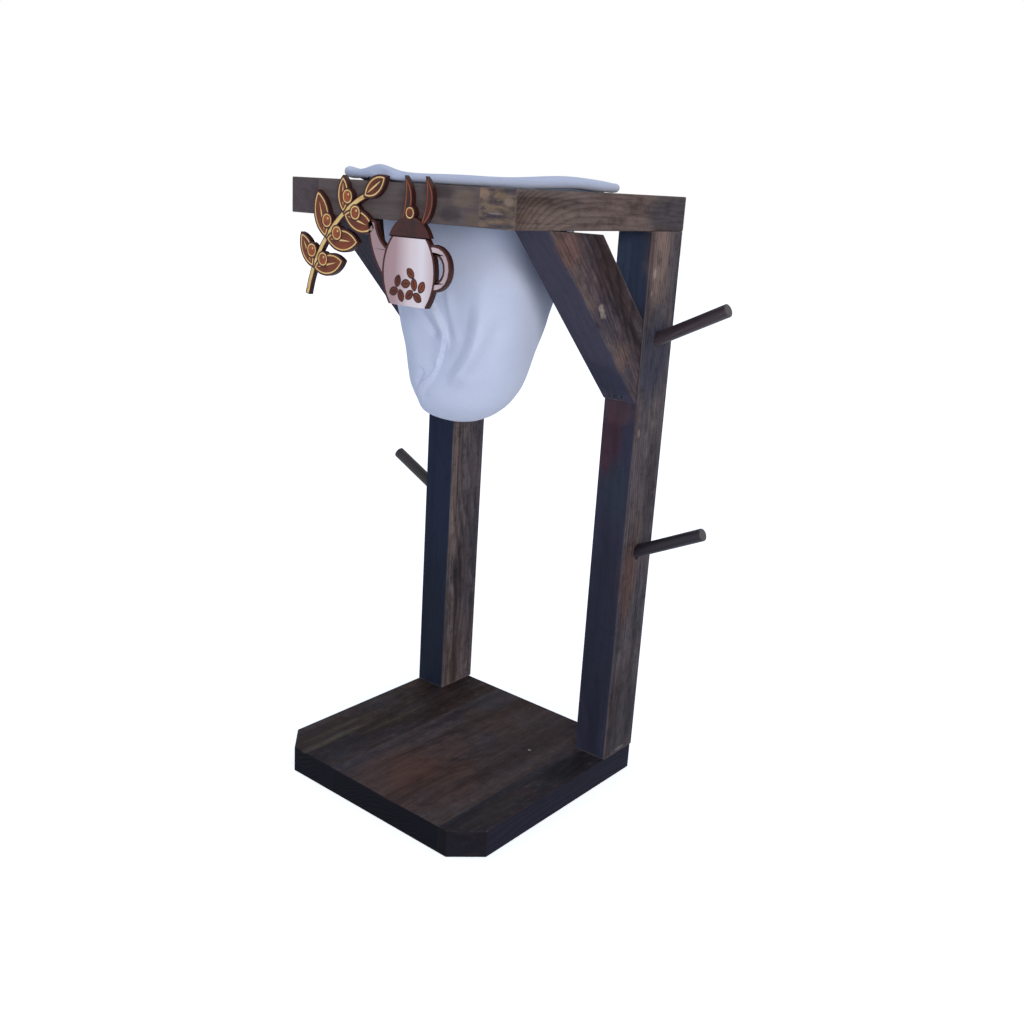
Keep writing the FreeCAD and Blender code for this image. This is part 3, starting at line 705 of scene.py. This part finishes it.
# (points down the wall, height, (width, softness) to the left, (width, softness) to the right);
# softness 2 is a round shoulder and 1 a crisp crest. A last number is the share of the route at
# which the fold starts to fade out, 0.8 where none is given.
FOLDS = [
    # The pinch: a groove, the thin crest beside it, and the slope that rises to the right.
    ([(-112, 346), (-98, 335.5), (-92, 327), (-88, 322), (-82.5, 316.5), (-78, 312), (-75, 307)],
     -2.8, (3.6, 1.6), (2.5, 1.6)),
    ([(-100, 344), (-89, 336), (-83, 329), (-78, 325.5), (-74.5, 320), (-71, 314.5), (-69, 310),
      (-69.5, 305)],
     2.6, (4.0, 1.5), (0.8, 1.5)),
    ([(-92, 345), (-83, 336.5), (-78, 330), (-74, 324.5), (-69.5, 319), (-66.5, 313),
      (-65, 306), (-65.5, 299)],
     -1.3, (1.0, 1.7), (6.5, 1.5)),
    # The lip below it, broad and then narrow, and the groove under the lip.
    ([(-71, 315), (-69.5, 309), (-71, 305), (-73, 299), (-75, 293), (-78, 288)],
     1.6, (6.0, 1.4), (0.7, 1.6)),
    ([(-74, 300), (-76, 293), (-79, 288), (-87.5, 281), (-97.5, 276.5), (-106.5, 271),
      (-115.5, 266), (-123, 261)],
     1.0, (1.4, 1.4), (0.7, 1.6)),
    ([(-68, 313), (-69.3, 308), (-70.3, 302), (-73, 296.5), (-75.6, 290.5), (-81, 283.5),
      (-90.5, 276), (-100, 269.5), (-109, 263)],
     -1.9, (0.9, 2.0), (4.6, 1.3)),
    # The belly, which bulges out beside the left panel, its crisp ridge, and the valley between.
    ([(-42, 366), (-43, 346), (-45, 318), (-48, 302), (-51, 290), (-54, 276), (-56, 252)],
     8.8, (12.5, 1.7), (34.0, 2.0), 0.45),
    ([(-46, 343), (-45.5, 324.5), (-46, 316.5), (-47, 307.5), (-49, 300), (-53, 292),
      (-59, 285), (-68, 277)],
     4.6, (4.4, 1.5), (7.0, 1.6)),
    ([(-52, 341), (-52, 324), (-53, 315.5), (-54, 307), (-57, 300), (-62, 293), (-69, 285)],
     -1.0, (3.0, 1.8), (2.0, 1.8)),
    ([(-69, 344), (-67, 334), (-64.5, 323.5), (-61, 314), (-59, 306)],
     1.3, (2.4, 1.8), (3.0, 1.8)),
    ([(-34, 328), (-35, 315), (-38, 305), (-45, 292), (-53, 283)], -1.4, (4.0, 2.0), (6.0, 2.0)),
    # The left panel, with a dent beside the lip's foot.
    ([(-112, 326), (-106, 308), (-100, 296), (-98, 286)], 1.4, (12.0, 2.0), (10.0, 2.0)),
    ([(-92, 287), (-99, 281.5), (-106, 275)], -1.5, (2.8, 1.6), (2.0, 1.6)),
    # Soft folds at the sides and the back.
    ([(26, 388), (34, 350), (44, 312), (58, 286)], -2.0, (5.0, 2.0), (9.0, 2.0)),
    ([(78, 390), (84, 352), (82, 318), (90, 290)], -3.4, (7.0, 2.0), (5.0, 1.4)),
    ([(98, 384), (100, 350), (97, 318), (102, 292)], 2.0, (3.0, 1.5), (9.0, 2.0)),
    ([(150, 390), (146, 356), (152, 322), (150, 292)], -2.8, (5.0, 2.0), (8.0, 2.0)),
    ([(-168, 388), (-172, 352), (-164, 318), (-158, 284)], -2.2, (8.0, 2.0), (5.0, 2.0)),
]
ROUTES = []
for points, rise, left, right, *fading in FOLDS:
    route = through(points)
    reach = 3 * max(left[0], right[0])
    sides = [spot.x for spot in route[::8]]
    box = (min(sides) - reach, max(sides) + reach, route[-1].y - reach, route[0].y + reach)
    ROUTES.append((route, box, rise, left, right, *(fading or [0.8])))


def beside(route, here):
    """How far a place is from a route, positive to its right, and the share walked by then."""
    number = min(range(len(route)), key=lambda i: (route[i] - here).length_squared)
    choices = []
    for start in (max(number - 1, 0), min(number, len(route) - 2)):
        spot, share = intersect_point_line(here, route[start], route[start + 1])
        share = min(max(share, 0), 1)
        way = route[start + 1] - route[start]
        gap = here - route[start] - way * share
        choices.append((gap.length, way.cross(gap), start + share))
    length, side, walked = min(choices)
    return math.copysign(length, side), walked / (len(route) - 1)


def fold_height(angle, height):
    """How far all the folds together push the wall out at a place, in millimetres."""
    total = 0.0
    for route, (x_low, x_high, z_low, z_high), rise, left, right, fades in ROUTES:
        across = (angle - route[0].x / DEGREE + 180) % 360 - 180 + route[0].x / DEGREE
        here = Vector((across * DEGREE, height))
        if not (z_low < height < z_high and x_low < here.x < x_high):
            continue
        apart, walked = beside(route, here)
        width, softness = right if apart > 0 else left
        fade = ease(walked, 0, 0.22) * ease(walked, 1, fades)
        total += rise * fade * math.exp(-((abs(apart) / width) ** softness))
    return total


print(len(FOLDS), "folds")

# %% Give the bag its hang

SAG_TO = Vector((-0.753, -0.657, 0))
PLAQUE_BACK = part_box("plaque")[1].y / MM
CORNER_PUSH = 8.5
HEM_BUMP = -94


def on_the_wood(place):
    """The same place, lifted onto the frame and kept behind the plaque.

    Further into the opening it may hang lower.
    """
    x, y = place.x + AXIS.x, place.y + AXIS.y
    inside = min(x - opening_left, opening_right - x, y - opening_front, opening_back - y)
    rest = wood_top + 0.12 - 1.4 * max(inside - 0.6, 0)
    return Vector((place.x, max(y, PLAQUE_BACK + 0.1) - AXIS.y, max(place.z, rest)))


def hang(place):
    """Where a point of the turned bag ends up, in millimetres over its own axis."""
    radius = math.hypot(place.x, place.y)
    angle = math.degrees(math.atan2(place.y, place.x))
    out = Vector((place.x, place.y, 0)).normalized() if radius > 0.01 else Vector()
    corner = max(lobe(angle, heading, 27) for heading in CORNERS)
    wave = noise.noise(place / 23) + 0.4 * noise.noise(place / 9)
    if place.z < wood_top - 2:
        free = ease(place.z, bottom + 44, wood_top - 8)
        push = CORNER_PUSH * corner * free + fold_height(angle, place.z)
        push += 0.45 * wave * ease(place.z, bottom - 4, bottom + 40)
        belly = math.sin(math.pi * ease(place.z, bottom - 4, bottom + 15))
        push += 3.0 * lobe(angle, -139, 40) * belly
        down = (wood_top - place.z) / (wood_top - bottom)
        lean = 1.8 * down + 4.7 * down ** 3.5
        low = ease(place.z, bottom + 20, bottom)
        return place + out * push + SAG_TO * lean + Vector((0, 0, 0.6 * low * wave))
    shoulder = ease(radius, RING - 4, NECK)
    lift = hem_lift(angle) * ease(radius, RING - 16, RING - 3)
    sag = 2.4 * corner * math.sin(math.pi * ease(radius, NECK, RING - 4))
    swell = 1 + hem_swell(angle) * ease(radius, RING - 3.5, RING - 2.5)
    ring_line = Vector((out.x * RING, out.y * RING, RING_HEIGHT))
    if swell != 1 and radius > RING - 3.5:
        place = ring_line + (place - ring_line) * swell
    up = lift - sag + 0.25 * wave * shoulder
    return on_the_wood(place + out * (CORNER_PUSH * corner * shoulder) + Vector((0, 0, up)))


def hem_lift(angle):
    """The ring isn't quite flat, and the cloth stands off the wood in places."""
    waves = 0.5 + 0.5 * math.sin(math.radians(3 * angle + 40)) * math.cos(math.radians(angle - 25))
    bunched = 2.4 * lobe(angle, HEM_BUMP, 9) + 0.8 * lobe(angle, HEM_BUMP - 14, 14)
    bunched += 2.4 * lobe(angle, -140, 16) + 1.7 * lobe(angle, -12, 17) + lobe(angle, 92, 14)
    return 0.5 * waves + bunched


def hem_swell(angle):
    """The roll is fuller where the wire's ends overlap and where the cloth is bunched."""
    return (0.42 * lobe(angle, HEM_BUMP, 8) + 0.3 * lobe(angle, -15, 24)
            - 0.12 * lobe(angle, 170, 20) + 0.06 * math.sin(math.radians(11 * angle)))


def into_the_room(shape):
    """From millimetres over the bag's axis to metres in the room."""
    bmesh.ops.scale(shape, vec=(MM, MM, MM), verts=shape.verts)
    bmesh.ops.translate(shape, vec=(AXIS.x * MM, AXIS.y * MM, 0), verts=shape.verts)


for corner in bag.verts:
    corner.co = hang(corner.co)
into_the_room(bag)
print("bag hangs to", round(min(corner.co.z for corner in bag.verts) / MM, 1), "mm")

# %% [markdown]
# ## Threads on the cloth
# A weave has to follow the cloth, over the folds and round the hem, so it can't come from
# places in the room. Each point of the bag knows how far it is from the bag's lowest point
# along the cloth, and its angle about the axis. Those two lengths make the piece's own map.

# %% A map in millimetres of cloth
MAP_RADIUS = 45
cloth_map = bag.loops.layers.uv.new("cloth_mm")
for face in bag.faces:
    headings = []
    for loop in face.loops:
        spot = loop.vert.co / MM - AXIS
        headings.append(math.atan2(spot.y, spot.x))
    for loop, heading in zip(face.loops, headings):
        if max(headings) - heading > math.pi:
            heading += math.tau
        loop[cloth_map].uv = (heading * MAP_RADIUS, loop.vert[run_layer])
print("mapped")

# %% [markdown]
# ## Cotton flannel
# Brushed cotton: fine soft threads in a plain weave, raised to a short nap. It is white with a
# breath of blue, quite rough, and at its turning edges the nap catches light, which the sheen
# does. Its threads are about half a millimetre, too fine to show here, so they are drawn at
# 0.9 mm. Light goes through one layer of it, so a little scatters below the surface.

# %% The cloth's finish
THREAD = 0.9


def cotton_flannel():
    material, tree = new_material("cotton_flannel")
    cloth = add(tree, "UVMap", uv_map="cloth_mm")
    parts = add(tree, "SeparateXYZ", [cloth])
    ribs = []
    for direction in ("X", "Y"):
        turns = add(tree, "Math", [parts.outputs[direction], math.pi / THREAD],
                    operation="MULTIPLY")
        ribs.append(add(tree, "Math", [turns], operation="SINE"))
    weave = add(tree, "Math", ribs, operation="MULTIPLY")
    near = add(tree, "TexCoord").outputs["Object"]
    nap = add(tree, "TexNoise", {"Vector": near, "Scale": 1 / (1.6 * MM), "Detail": 2.0})
    cloud = add(tree, "TexNoise", {"Vector": near, "Scale": 1 / (24 * MM), "Detail": 2.0})
    relief = add(tree, "Math", [weave, 0.35, nap], operation="MULTIPLY_ADD")
    bump = add(tree, "Bump", {"Strength": 0.25, "Distance": 0.25 * MM, "Height": relief})
    colour = mix_in(tree, tint("#cfd5e6"), cloud, 0.35, 0.7, 0.35, "#c4cadc")
    colour = mix_in(tree, colour, nap, 0.3, 0.7, 0.18, "#bfc6da")
    # Painted shade: the cloth turns darker and greyer towards the hem.
    colour = mix_in(tree, colour, parts.outputs["Y"], HEM_RUN - 14, HEM_RUN, 0.6, "#a7adc0")
    fabric = add(tree, "BsdfPrincipled", {
        "Base Color": colour, "Roughness": 0.92, "Specular IOR Level": 0.15, "Sheen Weight": 0.25,
        "Sheen Roughness": 0.5, "Subsurface Weight": 0.5, "Subsurface Radius": (1.0, 1.0, 1.0),
        "Subsurface Scale": 0.0008, "Normal": bump})
    add(tree, "OutputMaterial", [fabric])
    return material


flannel = cotton_flannel()
filter_cloth = finish_shape(bag, "filter_cloth", [flannel])
wall = filter_cloth.modifiers.new("wall", "SOLIDIFY")
wall.thickness = CLOTH * MM
wall.offset = -1
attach(filter_cloth, "root")
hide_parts("filter_bag")
print("cloth", len(filter_cloth.data.polygons), "faces")

# %% The thread of the hem
STITCH_RADIUS = RING - 5.2
STITCHES = 170
STITCH_HEIGHT = 2.4
stitches = bmesh.new()
for number in range(STITCHES):
    angle = math.tau * number / STITCHES
    spot = Vector((math.cos(angle), math.sin(angle), 0)) * STITCH_RADIUS
    spot = hang(Vector((spot.x, spot.y, wood_top + STITCH_HEIGHT))) + Vector((AXIS.x, AXIS.y, 0))
    along = Matrix.Rotation(angle, 4, "Z") @ Matrix.Diagonal((0.34, 1.15, 0.3, 1))
    bmesh.ops.create_icosphere(stitches, subdivisions=1, radius=MM,
                               matrix=Matrix.Translation(spot * MM) @ along)
hem_stitches = finish_shape(stitches, "hem_stitches", [flannel])
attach(hem_stitches, "root")
print(STITCHES, "stitches")

# %% [markdown]
# ## The wire in the hem
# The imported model's ring is flat, but this hem lifts off the wood in places. The wire is turned
# again as a ring and lifted with the hem, so that it stays in its channel.

# %% The wire
WIRE_STEPS = 180
WIRE_SIDES = 10
wire = bmesh.new()
upright = Matrix.Translation((RING, 0, RING_HEIGHT)) @ Matrix.Rotation(math.pi / 2, 4, "X")
bmesh.ops.create_circle(wire, segments=WIRE_SIDES, radius=WIRE, matrix=upright)
turn_round(wire, WIRE_STEPS)
for corner in wire.verts:
    corner.co.z += hem_lift(math.degrees(math.atan2(corner.co.y, corner.co.x)))
into_the_room(wire)
hem_wire = finish_shape(wire, "hem_wire", [])
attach(hem_wire, "root")
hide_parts("filter_hoop")
print("wire", len(hem_wire.data.polygons), "faces")

# %% [markdown]
# ## Pegs, dowels and steel
# The pegs are beech dowel, stained with the timber. Stain takes less on their hard, sanded
# ends, so an end is paler than a side, and the sides show fine streaks along the peg. The
# dowels inside the joints are the same stock left raw. Screws, nails and the filter's wire
# are steel: the heads have dulled, and only the wire keeps its bright plating.

# %% Dowels


def peg_axis(node):
    """The way a peg points, from the middle of one end to the middle of the other."""
    points = [corner.co for corner in nodes[node].data.vertices]
    middle = sum(points, Vector()) / len(points)
    outer = [point for point in points if abs(point.x) > abs(middle.x)]
    return (sum(outer, Vector()) / len(outer) - middle).normalized(), middle


def dowel_wood(name, axis, middle, side, streak, end):
    """Dowel of beech: streaks along its axis, and another tone on the end."""
    material, tree = new_material(name)
    coordinates = add(tree, "TexCoord")
    turn = axis.to_track_quat("Z", "Y").to_euler()
    room = coordinates.outputs["Object"]
    own = add(tree, "Mapping", {0: room, "Location": middle, "Rotation": turn,
                                "Scale": (MM, MM, MM)}, vector_type="TEXTURE")
    drawn = add(tree, "Mapping", {0: own, "Scale": (1 / 1.1, 1 / 1.1, 1 / 22)})
    fibre = add(tree, "TexNoise", {"Vector": drawn, "Scale": 1.0, "Detail": 3.0})
    cloud = add(tree, "TexNoise", {"Vector": own, "Scale": 1 / 14, "Detail": 2.0})
    colour = mix_in(tree, tint(side), fibre, 0.4, 0.66, 0.8, streak)
    colour = mix_in(tree, colour, cloud, 0.45, 0.65, 0.5, side)
    facing = add(tree, "VectorMath", [coordinates.outputs["Normal"], tuple(axis)],
                 operation="DOT_PRODUCT")
    facing = add(tree, "MapRange", [facing.outputs["Value"], 0.5, 0.9, 0.0, 1.0])
    pores = add(tree, "TexNoise", {"Vector": own, "Scale": 1.3, "Detail": 2.0})
    grain = mix_in(tree, tint(end), pores, 0.4, 0.65, 0.5, side)
    colour = add(tree, "Mix", [facing, colour, grain], data_type="RGBA")
    wood = add(tree, "BsdfPrincipled", {"Base Color": colour, "Roughness": 0.5, "IOR": 1.5,
                                        "Specular IOR Level": 0.35})
    add(tree, "OutputMaterial", [wood])
    return material


# The pegs are one stained beech; the lower right one and the left ones are painted darker, which is
# painted shade.
PEG_STAIN_AND_SHADE = {"peg_right_upper": ("#352b30", "#4b3e42"), "peg_right_lower": ("#1f1a22", "#2c252c"),
        "peg_left_upper": ("#211d20", "#2f292b"), "peg_left_lower": ("#252124", "#342d2f")}
for peg, tones in PEG_STAIN_AND_SHADE.items():
    dress(peg, dowel_wood("stained_" + peg, *peg_axis(peg), *tones, "#474140"))
for node in ("front_rail_dowels", "back_rail_dowels"):
    dress(node, dowel_wood("raw_beech_" + node, Vector((1, 0, 0)), Vector(),
                           "#c4a37c", "#b08e68", "#a88a68"))
print("pegs and dowels dressed")

# %% Steel


def steel(name, colour, roughness):
    """Plain steel: its brushed or rolled surface varies a little in roughness."""
    material, tree = new_material(name)
    near = add(tree, "TexCoord").outputs["Object"]
    scuff = add(tree, "TexNoise", {"Vector": near, "Scale": 1 / (1.5 * MM), "Detail": 2.0})
    rough = add(tree, "MapRange", [scuff, 0.3, 0.7, roughness - 0.08, roughness + 0.1])
    metal = add(tree, "BsdfPrincipled", {"Base Color": tint(colour), "Metallic": 1.0,
                                         "Roughness": rough})
    add(tree, "OutputMaterial", [metal])
    return material


dull = steel("dull_steel", "#3d3f45", 0.5)
for node in ("base_screws", "arm_screws", "brace_screws", "brace_nails"):
    dress(node, dull)
hem_wire.data.materials.append(steel("bright_plated_wire", "#b9bbbd", 0.28))
print("steel dressed")

# %% [markdown]
# ## The plaque and its print
# The plaque is a 3 mm board, sawn along its picture and dark at its edge, with a printed face.
# The picture is made of shapes in the plaque's plane, each from lines and arcs: a sprig with
# leaves and berries at the left, and a lidded pot with steam at the right. Each shape is a
# filled flat curve. Its mesh is inset once or twice, which leaves rings of even width for the
# dark rim and the gold line, as a printer's outline has. Shapes that lie over one another are
# stacked, each a tenth of a millimetre in front of the last, like layers of ink.

# %% Inks

SATIN = {"Roughness": 0.5, "Specular IOR Level": 0.25}

def ink(name, light, dark, size=9):
    """Printing ink under a thin satin film, a little uneven over a few millimetres."""
    material, tree = new_material(name)
    near = add(tree, "TexCoord").outputs["Object"]
    cloud = add(tree, "TexNoise", {"Vector": near, "Scale": 1 / (size * MM), "Detail": 3.0})
    colour = mix_in(tree, tint(light), cloud, 0.35, 0.65, 1.0, dark)
    film = add(tree, "BsdfPrincipled", {"Base Color": colour, **SATIN})
    add(tree, "OutputMaterial", [film])
    return material


def pot_ink():
    """Cream that turns to a rosy shade at the pot's sides, so that it looks round."""
    material, tree = new_material("ink_pot")
    near = add(tree, "TexCoord").outputs["Object"]
    place = add(tree, "SeparateXYZ", [near]).outputs["X"]
    share = add(tree, "MapRange", [place, PLAQUE.x + 6 * MM, PLAQUE.x + 62 * MM, 0.0, 1.0])
    ramp = add(tree, "ValToRGB", [share])
    bands = ramp.color_ramp.elements
    bands[0].color, bands[1].color = tint("#a98b8b"), tint("#b79d9f")
    for spot, code in ((0.24, "#b59494"), (0.45, "#e6d4d2"), (0.62, "#f1e6e6"), (0.76, "#d8c1c0")):
        bands.new(spot).color = tint(code)
    film = add(tree, "BsdfPrincipled", {"Base Color": ramp, **SATIN})
    add(tree, "OutputMaterial", [film])
    return material


PLAQUE = Vector((-14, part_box("plaque")[0].y / MM, 368.5)) * MM
dress("plaque", ink("dark_board", "#3b1c17", "#2c1412", 20))
INKS = {
    "rim": ink("ink_rim", "#4a211c", "#3a1a18"),
    "gold": ink("ink_gold", "#f0cd88", "#deb269"),
    "brown": ink("ink_brown", "#84401f", "#4c2017", 16),
    "night": ink("ink_night", "#2a1a1c", "#4d2018", 7),
    "amber": ink("ink_amber", "#a4562c", "#7a3a22", 7),
    "cream": pot_ink(),
}
print(len(INKS), "inks")

# %% Shapes from lines and arcs


def arc_handles(start, via, end):
    """The two Bezier handles of the arc from start through via to end."""
    chord = end - start
    half = math.pi - (start - via).angle(end - via)
    side = math.copysign(half, chord.cross(via - start))
    reach = 4 / 3 * math.tan(half / 2) * chord.length / (2 * math.sin(half))
    leave = Matrix.Rotation(side, 2) @ chord.normalized()
    arrive = Matrix.Rotation(-side, 2) @ chord.normalized()
    return start + leave * reach, end - arrive * reach


def flat_curve(outlines):
    """A filled flat curve. An outline is a list of (corner, via): a line if via is None."""
    curve = bpy.data.curves.new("print", "CURVE")
    curve.dimensions = "2D"
    curve.fill_mode = "BOTH"
    curve.resolution_u = 10
    for outline in outlines:
        spline = curve.splines.new("BEZIER")
        spline.bezier_points.add(len(outline) - 1)
        spline.use_cyclic_u = True
        knots = spline.bezier_points
        for number, (corner, via) in enumerate(outline):
            here, after = knots[number], knots[(number + 1) % len(outline)]
            start, end = Vector(corner), Vector(outline[(number + 1) % len(outline)][0])
            leave, arrive = (start, end) if via is None else arc_handles(start, Vector(via), end)
            here.co = (*start, 0)
            here.handle_right_type = after.handle_left_type = "FREE"
            here.handle_right, after.handle_left = (*leave, 0), (*arrive, 0)
    return curve


def step_from(spot, heading, distance):
    return Vector(spot) + Vector((math.cos(heading), math.sin(heading))) * distance


def disc(centre, radius):
    x, z = centre
    return [((x - radius, z), (x, z + radius)), ((x + radius, z), (x, z - radius))]


def leaf(base, heading, length, width):
    """A pointed leaf: two arcs that meet at its base and its tip."""
    tip, middle = step_from(base, heading, length), step_from(base, heading, length / 2)
    sides = [step_from(middle, heading + math.pi / 2, side * width / 2) for side in (-1, 1)]
    return [(base, sides[0]), (tip, sides[1])]


printed = bmesh.new()
ink_names = list(INKS)


def print_shape(layer, outlines, rims, fill):
    """Adds a shape to the print: rims are (width, ink) from the outline inwards."""
    flat = mesh_of(flat_curve(outlines))
    flat.transform(Matrix.Translation((0, 0, 0.1 * (layer + 1))))
    old = set(printed.faces)
    printed.from_mesh(flat)
    inside = [face for face in printed.faces if face not in old]
    corners = list({corner for face in inside for corner in face.verts})
    bmesh.ops.remove_doubles(printed, verts=corners, dist=0.001)
    inside = [face for face in printed.faces if face not in old]
    for width, name in rims:
        ring = bmesh.ops.inset_region(printed, faces=inside, thickness=width, use_boundary=True,
                                      use_even_offset=True)["faces"]
        for face in ring:
            face.material_index = ink_names.index(name)
    for face in inside:
        face.material_index = ink_names.index(fill)


print("shapes ready")

# %% The sprig
STEM_CENTRE = Vector((29, -57.8))
STEM_RADIUS = 88
STEM_HALF = 1.8
LEAF_SPREAD = math.radians(53)


def stem_point(heading, offset=0.0):
    """A point of the arched stem, told by the stem's heading there."""
    turned = Vector((-math.sin(heading), math.cos(heading)))
    return STEM_CENTRE + turned * (STEM_RADIUS + offset)


def print_leaf(base, way, length, width, vein):
    """A leaf and the vein on it."""
    print_shape(1, [leaf(base, way, length, width)], [(1.1, "rim"), (0.8, "gold")], "brown")
    print_shape(2, [leaf(step_from(base, way, 4), way, vein, 1.0)], [], "gold")


first, last = math.radians(77), math.radians(23)
middle = (first + last) / 2
lower = [stem_point(heading, -STEM_HALF) for heading in (first, middle, last)]
upper = [stem_point(heading, STEM_HALF) for heading in (last, middle, first)]
stem = [pair for start, via, end in (lower, upper) for pair in ((start, via), (end, None))]
print_shape(0, [stem], [(0.6, "rim")], "gold")
for degrees, left_length, right_length in ((66, 24, 28), (52, 29, 29), (38, 22, 28)):
    heading = math.radians(degrees)
    node = stem_point(heading)
    for side, length in ((1, left_length), (-1, right_length)):
        way = heading + side * LEAF_SPREAD
        print_leaf(node, way, length, length * 0.48, length * 0.62)
        berry = step_from(step_from(node, heading, 9), heading + side * math.pi / 2, 5.6)
        print_shape(3, [disc(berry, 4.8)], [(0.9, "rim"), (0.7, "gold")], "amber")
        print_shape(4, [disc(berry + Vector((1, 1.2)), 0.7)], [], "gold")
tip = math.radians(25)
print_leaf(stem_point(tip), tip + math.radians(8), 22, 11, 13)
print("sprig printed,", len(printed.faces), "faces so far")

# %% The pot
BODY = [((15, -36.5), None), ((45, -36.5), (51, -18)), ((43, 3), None), ((17, 3), (9, -18))]
SPOUT = [((12, -24), (1, -10)), ((-3.5, 7), (0, 9.6)), ((2.8, 8.4), (6.5, 0)), ((14, -6), None)]
LID = [((14, 2), (30, 13)), ((46, 2), None)]
HANDLE = [disc((49, -14), 13), disc((49, -14), 7.5)]
for x, z in ((21, 7), (37, 7)):
    wisp = [((x, z), (x + 10, z + 13)), ((x + 4, z + 28), (x + 4.5, z + 14))]
    print_shape(0, [wisp], [(0.5, "rim"), (0.7, "amber")], "night")
print_shape(0, HANDLE, [(1.4, "rim")], "cream")
print_shape(1, [SPOUT], [(1.4, "rim")], "cream")
print_shape(2, [BODY], [(1.4, "rim")], "cream")
print_shape(3, [LID], [(1.3, "rim")], "night")
print_shape(4, [disc((30, 15), 4)], [(0.9, "rim"), (0.6, "gold")], "brown")
BEANS = ((19, -29, 20), (25, -31, 110), (31.5, -30, 40), (38, -31, 150), (22, -23, 75),
         (28.5, -24, 10), (35, -24, 100), (41, -25, 60), (32, -18, 140))
for number, (x, z, degrees) in enumerate(BEANS):
    way = math.radians(degrees)
    bean = leaf(step_from((x, z), way, -3.8), way, 7.6, 5.2)
    print_shape(3 + number % 2, [bean], [(0.7, "night")], "brown")
    print_shape(5, [leaf(step_from((x, z), way, -2.8), way, 5.6, 0.7)], [], "night")
print("pot printed")

# %% Put the print on the plaque
bmesh.ops.scale(printed, vec=(MM, MM, MM), verts=printed.verts)
upright = Matrix.Rotation(math.radians(90), 3, "X")
bmesh.ops.rotate(printed, cent=(0, 0, 0), matrix=upright, verts=printed.verts)
bmesh.ops.translate(printed, vec=PLAQUE, verts=printed.verts)
inks = [INKS[name] for name in ink_names]
plaque_print = finish_shape(printed, "plaque_print", inks, smooth=False)
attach(plaque_print, "root")
print("print", len(plaque_print.data.polygons), "faces")
